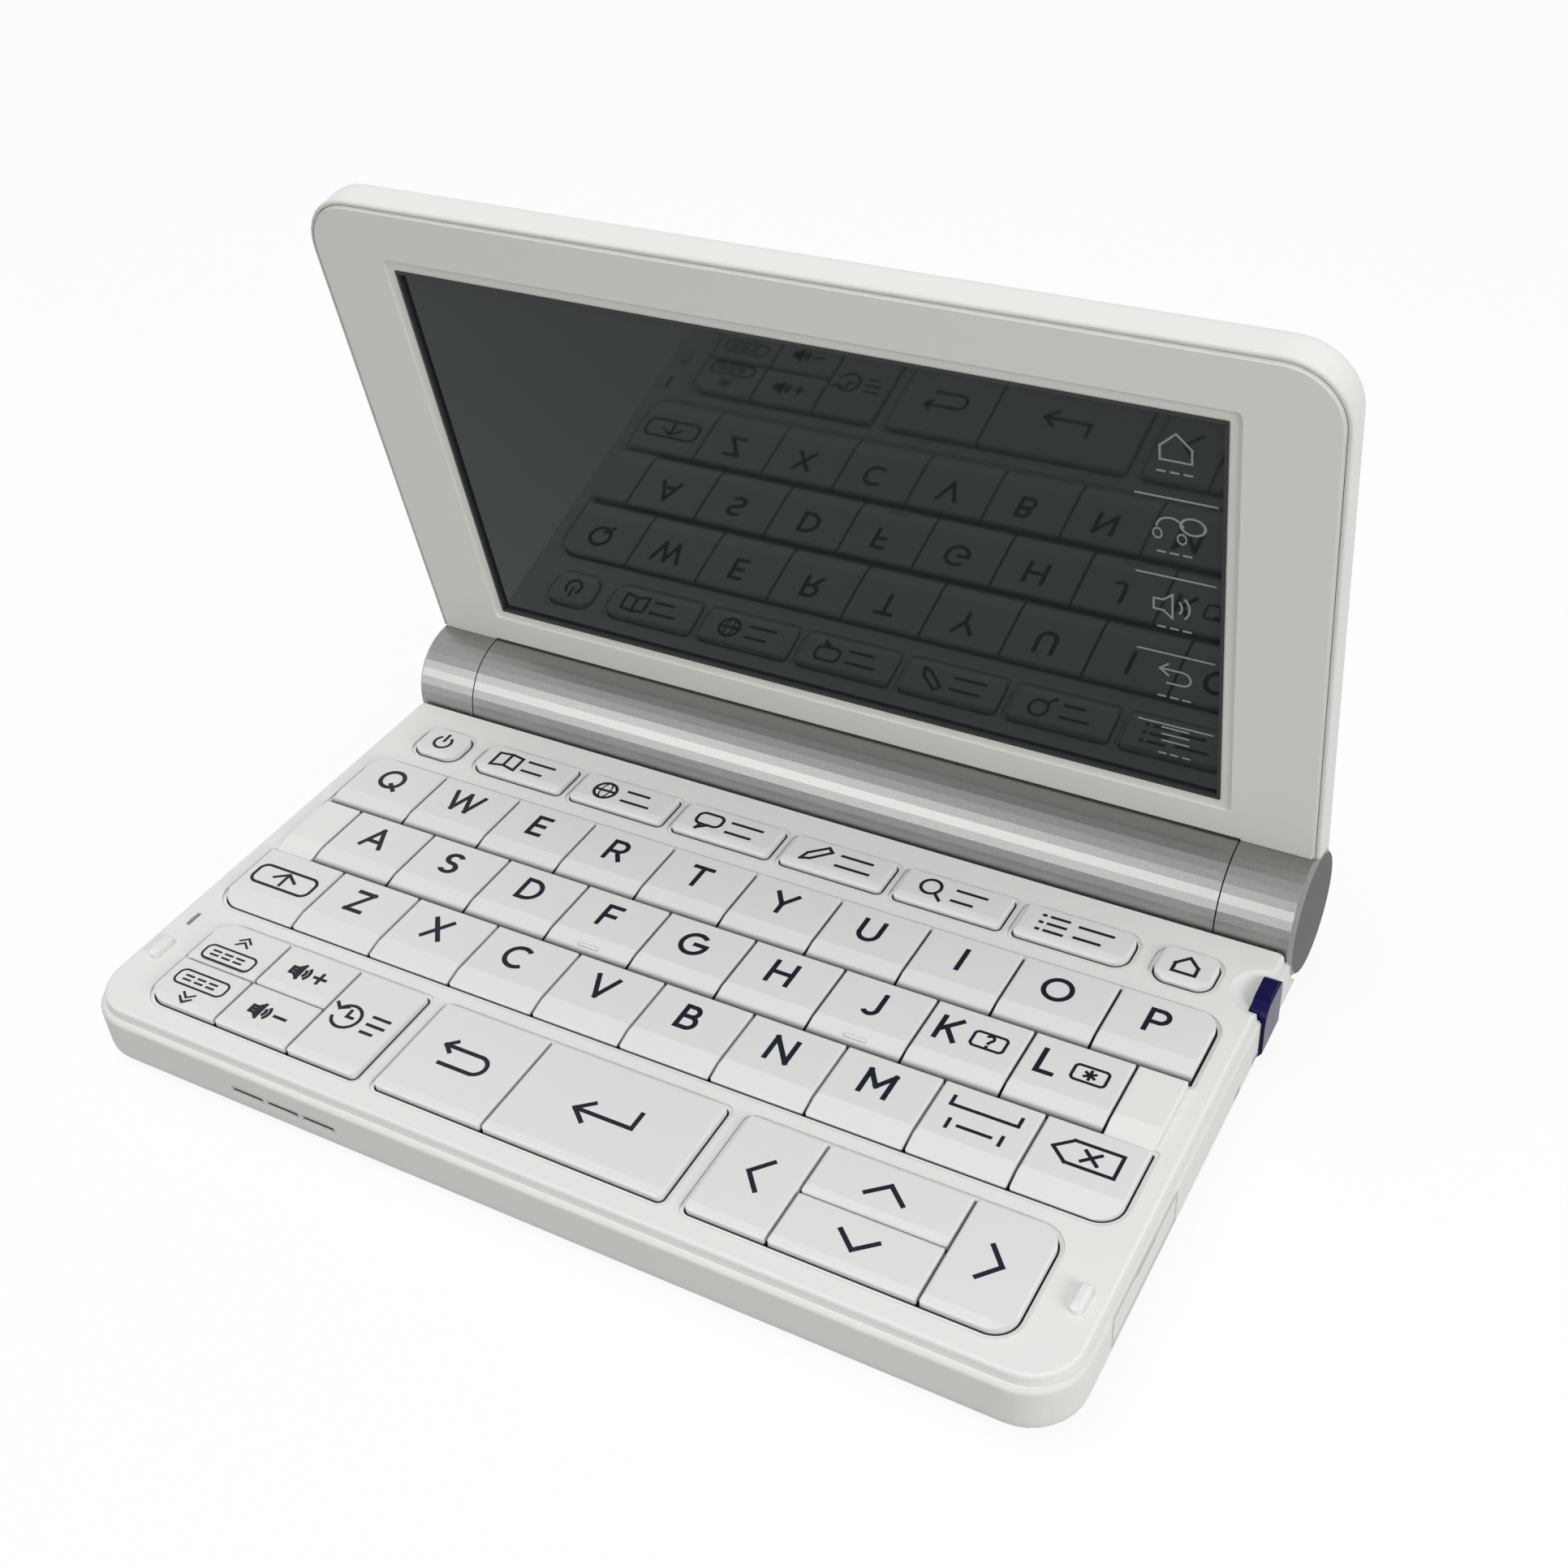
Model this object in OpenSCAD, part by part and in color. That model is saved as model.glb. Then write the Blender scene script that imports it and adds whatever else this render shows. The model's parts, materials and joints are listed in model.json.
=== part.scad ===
// Pocket electronic dictionary with a keyboard base, a barrel hinge and a screen lid.
// Millimetres, +Z up, +X to the user's right, +Y away from the user.
// The origin is on the resting surface, under the middle of the footprint.

/* [Base case] */
// Margin from the key block to the side of the case
side_margin = 4.0; // [3.6:0.1:8]
// Strip of deck from the front keys to the front of the case
front_strip = 4.7; // [4.2:0.1:10]
// Height of the deck above the underside of the case
case_h = 9.4; // [9.4:0.1:11]
// Thickness of the deck plate
deck_t = 1.5; // [1.2:0.1:1.5]
// Thickness of the case floor
floor_t = 1.4; // [1:0.1:1.4]
// Thickness of the case walls
wall_t = 1.5; // [1.2:0.1:1.8]
// Radius of the front corners in plan
corner_r = 7.5; // [5:0.5:9]
// Rounding of the lower edge of the case
edge_r = 2.0; // [1:0.1:2.4]
// Step from the rim of the case in to the deck
deck_step = 0.6; // [0.3:0.1:1]
// Height of the feet
foot_h = 0.6; // [0.4:0.1:1.2]
// Diameter of the feet
foot_d = 7.0; // [4:0.5:9]

/* [Keys] */
// Pitch of the letter keys
key_pitch = 14.0; // [13:0.1:16]
// Pitch of the letter rows
row_pitch = 12.85; // [12.3:0.05:15]
// Gap between neighbouring keys
key_gap = 0.4; // [0.3:0.05:0.6]
// Height of the key tops above the deck
key_proud = 0.9; // [0.7:0.1:1]
// Fall of a letter key from its flat top to its front edge
key_drop = 0.8; // [0.4:0.1:0.9]
// Travel of a key
key_travel = 0.7; // [0.4:0.05:0.7]
// Bevel of the key tops
key_bevel = 0.25; // [0.1:0.05:0.35]
// Rounding of the outer corners of a group of keys
group_r = 3.4; // [1.5:0.1:3.6]
// Rounding of the corners where two groups of front keys face each other
facing_r = 1.0; // [0.5:0.1:1.5]
// Rounding of the keys in the function row
function_r = 2.4; // [1:0.1:2.8]
// Depth of the keys in the function row
function_d = 6.9; // [6:0.1:9]
// Width of the power key and the home key
power_w = 8.6; // [7:0.1:10]
// Gap between the keys of the function row
function_gap = 1.6; // [1.2:0.1:2.5]
// Depth of the two rows of the front groups together
group_d = 17.1; // [16:0.1:20]
// Strip of deck between the letter rows and the front groups
group_strip = 3.15; // [2.6:0.05:6]
// Strip of deck between the function row and the letter rows
function_strip = 3.6; // [2.6:0.1:6]
// Strip of deck behind the function row
rear_strip = 5.0; // [4.8:0.1:8]
// Distance of the front groups in from the ends of the letter rows
group_inset = 4.7; // [2:0.1:6]
// Width of the volume keys and the previous and next keys
page_w = 12.7; // [10:0.1:13.5]
// Width of the history key
history_w = 11.8; // [10:0.1:13]
// Width of the back key
back_w = 17.5; // [14:0.1:20]
// Width of the left and right arrow keys
arrow_side_w = 11.6; // [10:0.1:13]
// Width of the up and down arrow keys
arrow_mid_w = 19.9; // [16:0.1:21]
// Gap between the front groups
group_gap = 2.8; // [2.2:0.1:4]

/* [Hinge barrel] */
// Wall of the barrel outside the cell chamber, at its corners
barrel_wall = 1.7; // [1.6:0.05:2]
// Number of flats round the barrel
barrel_flats = 44; // [36:2:60]
// Length of each hinge knuckle
knuckle_w = 11.0; // [9.5:0.1:13]
// Gap between the barrel and a knuckle
knuckle_gap = 0.2; // [0.1:0.05:0.4]
// Clearance round the cells in the barrel
chamber_clear = 0.45; // [0.4:0.05:0.6]
// Diameter of the hinge stubs
stub_d = 6.0; // [4:0.5:8]
// Radial clearance of a hinge stub in its bore
stub_clear = 0.05; // [0.02:0.01:0.1]
// Gap between the deck's rear edge and the barrel
deck_gap = 0.4; // [0.3:0.05:1.2]
// Height of the barrel axis above the deck
axis_rise = 0.1; // [-0.3:0.1:0.6]

/* [Lid] */
// Opening of the lid from closed, as photographed
open_angle = 80.5; // [0:0.1:150]
// Thickness of the lid
lid_t = 6.6; // [6.2:0.1:8]
// Gap between the key tops and the closed lid
lid_gap = 0.4; // [0.3:0.1:1]
// Thickness of the bezel
bezel_t = 1.4; // [1.2:0.1:1.8]
// Thickness of the back of the lid
back_t = 1.2; // [1:0.1:1.4]
// Thickness of the side walls of the lid
lid_wall = 1.6; // [1.2:0.1:2]
// Rounding of the back edge of the lid
lid_edge_r = 2.2; // [1:0.1:3]
// Width of the screen opening
screen_w = 119.7; // [100:0.1:124]
// Height of the screen opening
screen_h = 62.7; // [50:0.1:66]
// Distance from the barrel axis to the lower edge of the screen opening
screen_from_axis = 16.2; // [15:0.1:20]
// Width of the shallow step round the screen opening
screen_step = 1.6; // [1:0.1:2.4]
// Depth of the display's face below the bezel
screen_recess = 0.8; // [0.7:0.1:1]
// Thickness of the display
display_t = 2.0; // [1.4:0.1:2.2]

/* [Inner parts] */
// Thickness of the circuit board
board_t = 0.8; // [0.6:0.1:0.8]
// Diameter of an AA cell
cell_d = 14.5; // [13.5:0.1:14.5]
// Length of an AA cell with its button
cell_l = 50.5; // [49.2:0.1:50.5]
// Radius of the earphone socket's bore
jack_r = 1.8; // [1.75:0.01:1.85]
// Length of the stylus shaft
stylus_l = 84; // [60:1:100]
// Clearance round the stylus head and the card cover
fit_gap = 0.15; // [0.1:0.01:0.3]

/* [Hidden] */
$fn = 48;
over = 1;
deck_z = foot_h + case_h;
seam_z = deck_z - deck_t;
floor_z = foot_h + floor_t;
key_top_z = deck_z + key_proud;

// Plan of the base, from the key layout.
block_w = 10 * key_pitch;
body_w = block_w + 2 * side_margin;
chamber_d = cell_d + 2 * chamber_clear;
barrel_d = chamber_d + 2 * barrel_wall;
barrel_r = barrel_d / 2;
deck_to_axis = barrel_r + deck_gap;
rows_d = 3 * row_pitch;
axis_to_keys = deck_to_axis + rear_strip + function_d + function_strip;
axis_to_front = axis_to_keys + rows_d + group_strip + group_d + front_strip;
body_d = axis_to_front + barrel_r;
front_y = -body_d / 2;
axis_y = body_d / 2 - barrel_r;
axis_z = deck_z + axis_rise;
deck_rear_y = axis_y - deck_to_axis;
function_rear_y = deck_rear_y - rear_strip;
rows_rear_y = axis_y - axis_to_keys;
group_rear_y = rows_rear_y - rows_d - group_strip;
deck_half_w = body_w / 2 - deck_step;
knuckle_x = body_w / 2 - knuckle_w;
barrel_half_l = knuckle_x - knuckle_gap;
spring_space = 5;
tongue_w = 6;
tongue_l = 15;
tongue_reach = 9;
pocket_clear = 0.2;

// Heights of the key parts, from the deck down to the board.
tray_depth = 1.4;
tray_t = 0.8;
stem_clear = 0.15;
flange_w = 0.8;
flange_t = 0.6;
plunger_r = 1.5;
dome_h = 0.2;
dome_r = 2.2;
tray_top_z = deck_z - tray_depth;
tray_low_z = tray_top_z - tray_t;
cap_low_z = tray_top_z + key_travel + 0.1;
flange_low_z = tray_low_z - 0.2 - flange_t;
plunger_low_z = flange_low_z - 0.15;
board_z = plunger_low_z - key_travel - 0.05 - dome_h - board_t;

// Key tables. A key is [name, left, front, width, depth, corner radii, kind].
// The corners run: rear left, rear right, front right, front left.
LETTER = 0;
FLAT = 1;
LOW = 2;
s = 0.5;
g = group_r;
f = function_r;
c = facing_r;
function row(names, x, rear, ends) = [
    for (i = [0 : len(names) - 1])
        let (left = i == 0, right = i == len(names) - 1)
        [names[i], x + i * key_pitch, rear - row_pitch, key_pitch, row_pitch,
         [left ? ends[0] : s, right ? ends[0] : s, right ? ends[1] : s, left ? ends[1] : s],
         LETTER]];

q_row = row(["key_q", "key_w", "key_e", "key_r", "key_t", "key_y", "key_u", "key_i", "key_o",
             "key_p"], -block_w / 2, rows_rear_y, [g, s]);
a_row = row(["key_a", "key_s", "key_d", "key_f", "key_g", "key_h", "key_j", "key_k", "key_l"],
            -block_w / 2 + key_pitch / 2, rows_rear_y - row_pitch, [s, s]);
z_row = row(["shift_key", "key_z", "key_x", "key_c", "key_v", "key_b", "key_n", "key_m",
             "space_key", "delete_key"], -block_w / 2, rows_rear_y - 2 * row_pitch, [s, g]);

// Front groups: page and volume keys, back and enter, arrows.
half_d = group_d / 2;
group_front_y = group_rear_y - group_d;
group_mid_y = group_front_y + half_d;
page_x = -block_w / 2 + group_inset;
volume_x = page_x + page_w;
history_x = volume_x + page_w;
back_x = history_x + history_w + group_gap;
arrows_w = 2 * arrow_side_w + arrow_mid_w;
arrows_x = block_w / 2 - group_inset - arrows_w;
enter_x = back_x + back_w;
enter_w = arrows_x - group_gap - enter_x;
up_x = arrows_x + arrow_side_w;
right_x = up_x + arrow_mid_w;
front_keys = [
    ["previous_key", page_x, group_mid_y, page_w, half_d, [g, s, s, s], FLAT],
    ["next_key", page_x, group_front_y, page_w, half_d, [s, s, s, g], FLAT],
    ["volume_up_key", volume_x, group_mid_y, page_w, half_d, [s, s, s, s], FLAT],
    ["volume_down_key", volume_x, group_front_y, page_w, half_d, [s, s, s, s], FLAT],
    ["history_key", history_x, group_front_y, history_w, group_d, [s, c, c, s], FLAT],
    ["back_key", back_x, group_front_y, back_w, group_d, [c, s, s, c], FLAT],
    ["enter_key", enter_x, group_front_y, enter_w, group_d, [s, c, c, s], FLAT],
    ["left_key", arrows_x, group_front_y, arrow_side_w, group_d, [c, s, s, c], FLAT],
    ["up_key", up_x, group_mid_y, arrow_mid_w, half_d, [s, s, s, s], FLAT],
    ["down_key", up_x, group_front_y, arrow_mid_w, half_d, [s, s, s, s], FLAT],
    ["right_key", right_x, group_front_y, arrow_side_w, group_d, [s, g, g, s], FLAT]];

// Function row: a round-ended strip of six keys between power and home.
power_x = -block_w / 2 + 3.4;
function_x = power_x + power_w + 3.2;
function_w = (-2 * function_x + function_gap) / 6 - function_gap;
function_front_y = function_rear_y - function_d;
function_keys = concat(
    [["power_key", power_x, function_front_y, power_w, function_d, [f, f, f, f], LOW]],
    [for (i = [0 : 5])
        let (left = i == 0 ? f : 1, right = i == 5 ? f : 1)
        [str("function_key_", i + 1), function_x + i * (function_w + function_gap),
         function_front_y, function_w, function_d, [left, right, right, left], LOW]],
    [["home_key", -power_x - power_w, function_front_y, power_w, function_d, [f, f, f, f], LOW]]);

KEYS = concat(q_row, a_row, z_row, front_keys, function_keys);

// Recesses in the deck, one for each group of keys, in the same form as the keys.
RECESSES = concat(
    [["letters", -block_w / 2, rows_rear_y - row_pitch, block_w, row_pitch, [g, g, 0, 0]],
     ["letters", -block_w / 2 + key_pitch / 2, rows_rear_y - 2 * row_pitch, 9 * key_pitch,
      row_pitch, [0, 0, 0, 0]],
     ["letters", -block_w / 2, rows_rear_y - rows_d, block_w, row_pitch, [0, 0, g, g]],
     ["pages", page_x, group_front_y, history_x + history_w - page_x, group_d, [g, c, c, g]],
     ["enter", back_x, group_front_y, arrows_x - group_gap - back_x, group_d, [c, c, c, c]],
     ["arrows", arrows_x, group_front_y, arrows_w, group_d, [c, g, g, c]]],
    function_keys);

// The trays under the recesses: [left, front, width, depth].
TRAYS = [
    [-block_w / 2, rows_rear_y - rows_d, block_w, rows_d],
    [page_x, group_front_y, history_x + history_w - page_x, group_d],
    [back_x, group_front_y, arrows_x - group_gap - back_x, group_d],
    [arrows_x, group_front_y, arrows_w, group_d],
    [power_x, function_front_y, power_w, function_d],
    [function_x, function_front_y, -2 * function_x, function_d],
    [-power_x - power_w, function_front_y, power_w, function_d]];

// A rectangle with its own radius at each corner, as true arcs.
module corner_rect(w, d, r) {
    at = [[0, d], [w, d], [w, 0], [0, 0]];
    inward = [[1, -1], [-1, -1], [-1, 1], [1, 1]];
    function along(i) = [at[i][0] + inward[i][0] * r[i], at[i][1]];
    function across(i) = [at[i][0], at[i][1] + inward[i][1] * r[i]];
    polygon([for (i = [0 : 3])
        for (q = r[i] == 0 ? [at[i]] : i % 2 == 0 ? [across(i), along(i)] : [along(i), across(i)])
            q]);
    for (i = [0 : 3])
        if (r[i] > 0) translate(at[i] + inward[i] * r[i]) circle(r[i]);
}

// A key cell grown by a margin, in plan.
module cell(k, grow) {
    translate([k[1] - grow, k[2] - grow])
        corner_rect(k[3] + 2 * grow, k[4] + 2 * grow, [for (r = k[5]) max(r + grow, 0)]);
}

// Depth of the sloping front of a letter key.
letter_slope = 3.4;

// The top of a key: plan, side profile and front profile cut each other.
module key_cap(w, d, h, r, drop, slope_d, bevel) {
    intersection() {
        linear_extrude(h) corner_rect(w, d, r);
        rotate([90, 0, 90]) linear_extrude(w)
            polygon([[0, 0], [d, 0], [d, h - bevel], [d - bevel, h], [slope_d, h],
                     [bevel, h - drop], [0, h - drop - bevel]]);
        translate([0, d, 0]) rotate([90, 0, 0]) linear_extrude(d)
            polygon([[0, 0], [w, 0], [w, h - bevel], [w - bevel, h], [bevel, h], [0, h - bevel]]);
    }
}

// A whole key: cap, stem through the deck, flange that keeps it there, and plunger.
module key(k) {
    half = key_gap / 2;
    w = k[3] - key_gap;
    d = k[4] - key_gap;
    r = [for (v = k[5]) max(v - half, 0.3)];
    top = k[6] == LOW ? key_top_z - 0.1 : key_top_z;
    drop = k[6] == LETTER ? key_drop : 0.25;
    slope = k[6] == LETTER ? letter_slope : 1.2;
    bevel = k[6] == LOW ? key_bevel + 0.1 : key_bevel;
    color("whitesmoke") union() {
        translate([k[1] + half, k[2] + half, cap_low_z])
            key_cap(w, d, top - cap_low_z, r, drop, slope, bevel);
        translate([0, 0, flange_low_z + flange_t / 2])
            stem(k, 0, cap_low_z - flange_low_z);
        translate([0, 0, flange_low_z]) stem(k, flange_w, flange_t);
        translate([k[1] + k[3] / 2, k[2] + k[4] / 2, plunger_low_z])
            cylinder(r = plunger_r, h = flange_t);
        if (k[0] == "key_f" || k[0] == "key_j") homing_bar(k);
    }
}

// The stem of a key, or with a margin its flange or its hole.
module stem(k, grow, h) {
    w = 0.5 * k[3] + 2 * grow;
    d = 0.5 * k[4] + 2 * grow;
    translate([k[1] + k[3] / 2 - w / 2, k[2] + k[4] / 2 - d / 2, 0]) cube([w, d, h]);
}

// The raised bar that finds the home keys, on the sloping front of the cap.
module homing_bar(k) {
    bar_w = 3.2;
    slope_angle = atan(key_drop / letter_slope);
    translate([k[1] + k[3] / 2 - bar_w / 2, k[2] + key_gap / 2 + 1.3, key_top_z - key_drop + 0.1])
        rotate([slope_angle, 0, 0]) cube([bar_w, 0.5, 0.4]);
}

// Plan of the base with its round front corners.
module base_plan(inset, rear) {
    w = body_w - 2 * inset;
    translate([-w / 2, front_y + inset])
        corner_rect(w, rear - front_y - inset, [0.3, 0.3, corner_r - inset, corner_r - inset]);
}

// A faceted slab: the plan drawn in at each of the levels, [height, inset], but square behind.
module eased_plan(levels, half_w, front, rear, r) {
    hull() for (i = [0 : len(levels) - 1]) {
        v = levels[i];
        k = max(r - v[1], 0.4);
        translate([0, 0, v[0] - (i > 0 ? 0.01 : 0)]) linear_extrude(0.01) {
            for (side = [-1, 1]) {
                translate([side * (half_w - v[1] - k), front + v[1] + k]) circle(k, $fn = 32);
                translate([side * (half_w - v[1] - 0.5), rear - 0.5]) circle(0.5, $fn = 12);
            }
        }
    }
}

function quarter(z, r, steps) = [
    for (i = [0 : steps]) let (a = 90 * i / steps) [z + r * (1 - cos(a)), r * (1 - sin(a))]];

// Layout of the things that pass through several parts.
case_rear_y = axis_y - barrel_r + 1.0;
block_rear_y = axis_y - 5.4;
saddle_r = barrel_r + 0.35;
stylus_y = function_rear_y - 3.4;
stylus_w = 5.0;
stylus_t = min(2.6, board_z - floor_z - 0.4);
head_w = 7.1;
head_t = 2.4;
head_x = body_w / 2 + 0.5 - head_t;
head_low_z = foot_h + 0.5;
head_top_z = deck_z + 0.4;
scoop_r = 9.5;
scoop_depth = 1.2;
card_y = -35;
card_w = 21;
card_low_z = foot_h + 2.3;
card_h = 5.0;
card_t = 1.3;
jack_y = rows_rear_y - row_pitch;
jack_z = floor_z + 2.25;
jack_block_w = 5.6;
jack_block_top_z = flange_low_z - key_travel - 0.1;
jack_l = 12;
jack_nose_r = jack_r + 0.25;
usb_y = rows_rear_y - 2 * row_pitch;
usb_w = 7.5;
usb_t = 2.7;
card_socket_l = 15.5;
card_socket_w = 15;
card_socket_t = 2;
chip_t = 1.3;
processor_w = 16;
processor_y = 30;
memory_w = 12;
memory_d = 9;
memory_x = 18;
memory_y = 28;
boss_r = 1.3;
boss_split_z = floor_z + 2.6;
front_boss_y = front_y + front_strip - 2.0;
rear_boss_y = function_rear_y + 2.4;
front_bosses = [for (x = [-0.45, 0.45]) [x * body_w, front_boss_y]];
rear_bosses = [for (x = [-0.445, 0, 0.445]) [x * body_w, rear_boss_y]];
bosses = concat(front_bosses, rear_bosses);
board_front_y = group_front_y - 0.3;
board_rear_y = function_rear_y + 0.6;
board_half_w = block_w / 2 - 0.8;
standoffs = [for (x = [-0.72, 0, 0.72]) for (y = [rows_rear_y - 0.15, group_rear_y + 1.6,
             group_front_y + 2.4]) [x * block_w / 2, y]];
speaker_x = -0.27 * block_w;
speaker_r = 9;
speaker_y = group_front_y + speaker_r + 1.2;

module barrel_prism(r, x0, x1) {
    translate([x0, axis_y, axis_z]) rotate([90, 0, 90]) linear_extrude(x1 - x0)
        polygon([for (i = [0 : barrel_flats - 1])
            r * [cos((i + 0.5) * 360 / barrel_flats), sin((i + 0.5) * 360 / barrel_flats)]]);
}

module axis_cylinder(r, x0, x1) {
    translate([x0, axis_y, axis_z]) rotate([0, 90, 0]) cylinder(r = r, h = x1 - x0);
}

// Lower shell: floor, walls, feet, bosses and the saddles under the hinge.
module bottom_case() {
    slot_l = 5.4;
    slot_h = 0.8;
    slot_pitch = 6.1;
    slot_z = floor_z + 2.2;
    foot_inset = 14;
    front_foot_y = front_y + 11;
    rear_foot_y = stylus_y - 9;
    strap_w = 2;
    color("white") difference() {
        union() {
            difference() {
                eased_plan(concat(quarter(foot_h, edge_r, 4), [[seam_z - 0.5, 0], [seam_z, 0.35]]),
                           body_w / 2, front_y, block_rear_y, corner_r);
                translate([0, 0, floor_z]) linear_extrude(case_h)
                    base_plan(wall_t, axis_y - deck_to_axis - wall_t);
                translate([-knuckle_x, case_rear_y, 0])
                    cube([2 * knuckle_x, body_d, 2 * case_h]);
                translate([-barrel_half_l, axis_y - deck_to_axis - 2 * wall_t, floor_z])
                    cube([2 * barrel_half_l, body_d, 2 * case_h]);
                for (x = [-body_w / 2 - over, knuckle_x - over])
                    axis_cylinder(saddle_r, x, x + knuckle_w + 2 * over);
            }
            for (p = bosses) translate([p[0], p[1], foot_h + 0.4])
                cylinder(r = boss_r + 0.3, h = boss_split_z - foot_h - 0.4);
            for (p = standoffs) translate([p[0], p[1], floor_z - 0.2])
                cylinder(r = 1.4, h = board_z - floor_z + 0.2);
            for (side = [-1, 1]) for (y = [front_foot_y, rear_foot_y])
                translate([side * (body_w / 2 - foot_inset), y, 0])
                    cylinder(d = foot_d, h = foot_h + 0.3);
        }
        // Speaker slots in the front wall.
        for (i = [-1 : 1])
            translate([speaker_x + i * slot_pitch - slot_l / 2, front_y - over, slot_z])
                cube([slot_l, wall_t + 2 * over, slot_h]);
        // Earphone socket and data socket in the left wall.
        translate([-body_w / 2 - over, jack_y, jack_z]) rotate([0, 90, 0])
            cylinder(r = jack_nose_r + fit_gap, h = wall_t + 2 * over);
        translate([-body_w / 2 - over, usb_y - usb_w / 2 - fit_gap, board_z - usb_t - fit_gap])
            cube([wall_t + 2 * over, usb_w + 2 * fit_gap, usb_t + 2 * fit_gap]);
        // Openings for the stylus head, the card cover and the strap in the right wall.
        translate([head_x - fit_gap, stylus_y - head_w / 2 - fit_gap, -over])
            cube([head_t + 2 * over, head_w + 2 * fit_gap, 2 * case_h]);
        translate([body_w / 2 - wall_t - over, card_y, card_low_z])
            cube([wall_t + 2 * over, card_w, card_h]);
        for (y = [rows_rear_y - 5.1, rows_rear_y + 1.9])
            translate([body_w / 2 - wall_t - over, y - strap_w / 2, floor_z + 0.1])
                cube([wall_t + 2 * over, strap_w, 1.3]);
        // Screw recesses under the case.
        for (p = bosses) translate([p[0], p[1], foot_h - over])
            cylinder(r = 1.1, h = over + 0.9);
    }
}

// Upper shell: the plate with its key recesses, the two fixed pads and the lid stops.
module keyboard_deck() {
    ease = 0.45;
    border = 0.6;
    stop_l = 4.2;
    stop_w = 1.7;
    stop_y = group_front_y + group_d / 2 + 0.25;
    stop_x = block_w / 2 + 0.15;
    stop_h = key_top_z + lid_gap - 0.2 - seam_z;
    pad_w = key_pitch / 2 - key_gap;
    color("white") {
        difference() {
            union() {
                eased_plan([[seam_z, 0], [deck_z - ease, 0.15],
                            [deck_z - 0.15, 0.15 + ease * 0.3], [deck_z, 0.15 + ease]],
                           deck_half_w, front_y + deck_step + 0.25, deck_rear_y,
                           corner_r - deck_step);
                for (k = TRAYS) translate([k[0] - 1, k[1] - 1, tray_low_z])
                    cube([k[2] + 2, k[3] + 2, seam_z - tray_low_z + 0.3]);
            }
            // Shallow border round each group, then the recess and the holes for the stems.
            for (k = RECESSES) translate([0, 0, deck_z - 0.25])
                linear_extrude(case_h) cell(k, border);
            for (k = RECESSES) translate([0, 0, tray_top_z])
                linear_extrude(case_h) cell(k, 0.05);
            for (k = KEYS) translate([0, 0, tray_low_z - over])
                stem(k, stem_clear, tray_t + 2 * over);
            // Slot of the charge lamp.
            translate([-block_w / 2 - 0.8, group_rear_y - 2.7, deck_z - 0.6])
                cube([0.7, 2.7, case_h]);
            // Notch for the stylus head and the finger scoop beside it.
            translate([head_x - fit_gap, stylus_y - head_w / 2 - fit_gap, 0])
                cube([head_t + 4, head_w + 2 * fit_gap, 2 * case_h]);
            translate([head_x + 1.0, stylus_y, deck_z + scoop_r - scoop_depth])
                rotate([90, 0, 0]) sphere(scoop_r);
        }
        // Fixed pads at the ends of the middle row.
        for (side = [-1, 1])
            translate([side * (block_w - key_pitch / 2) / 2 - pad_w / 2,
                       rows_rear_y - 2 * row_pitch + key_gap / 2, seam_z + 0.2])
                key_cap(pad_w, row_pitch - key_gap, key_top_z - seam_z - 0.2,
                        [0.4, 0.4, 0.4, 0.4], key_drop, letter_slope, key_bevel);
        // Stops that meet the closed lid.
        for (side = [-1, 1])
            translate([side * stop_x - stop_w / 2, stop_y - stop_l / 2, seam_z + 0.2])
                key_cap(stop_w, stop_l, stop_h - 0.2, [0.8, 0.8, 0.8, 0.8], 0.1, 0.9, 0.45);
        // Screw bosses.
        for (p = bosses) translate([p[0], p[1], boss_split_z])
            cylinder(r = boss_r, h = seam_z - boss_split_z + 0.5);
    }
}

// Faceted tube of the hinge: cell chamber, end bearings and the tongue in the case.
module hinge_barrel() {
    chamber_l = 2 * cell_l + spring_space;
    ledge = 2.3;
    win = cover_half_w() + fit_gap;
    tongue_y = deck_rear_y - wall_t;
    color("silver") difference() {
        union() {
            barrel_prism(barrel_r, -barrel_half_l, barrel_half_l);
            translate([-barrel_half_l, tongue_y, floor_z])
                cube([2 * barrel_half_l, case_rear_y - 0.1 - tongue_y, seam_z - floor_z]);
        }
        axis_cylinder(chamber_d / 2, -chamber_l / 2, chamber_l / 2);
        translate([-chamber_l / 2, axis_y - win, axis_z - ledge - barrel_d])
            cube([chamber_l, 2 * win, barrel_d]);
        for (side = [-1, 1]) axis_cylinder(stub_d / 2 + stub_clear,
            side * barrel_half_l - stub_length() - 0.5, side * barrel_half_l + stub_length() + 0.5);
    }
}

function cover_half_w() = chamber_d / 2 + 0.35;
function stub_length() = min(7, barrel_half_l - cell_l - spring_space / 2 - 0.7);

// The lower part of the tube, which comes off to change the cells.
module battery_cover() {
    cover_l = 2 * cell_l + spring_space - 2 * fit_gap;
    ledge = 2.4;
    half = cover_half_w();
    color("silver") intersection() {
        difference() {
            barrel_prism(barrel_r, -cover_l / 2, cover_l / 2);
            axis_cylinder(chamber_d / 2 + 0.05, -body_w, body_w);
        }
        translate([-cover_l / 2, axis_y - half, axis_z - ledge - barrel_d])
            cube([cover_l, 2 * half, barrel_d]);
    }
}

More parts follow.
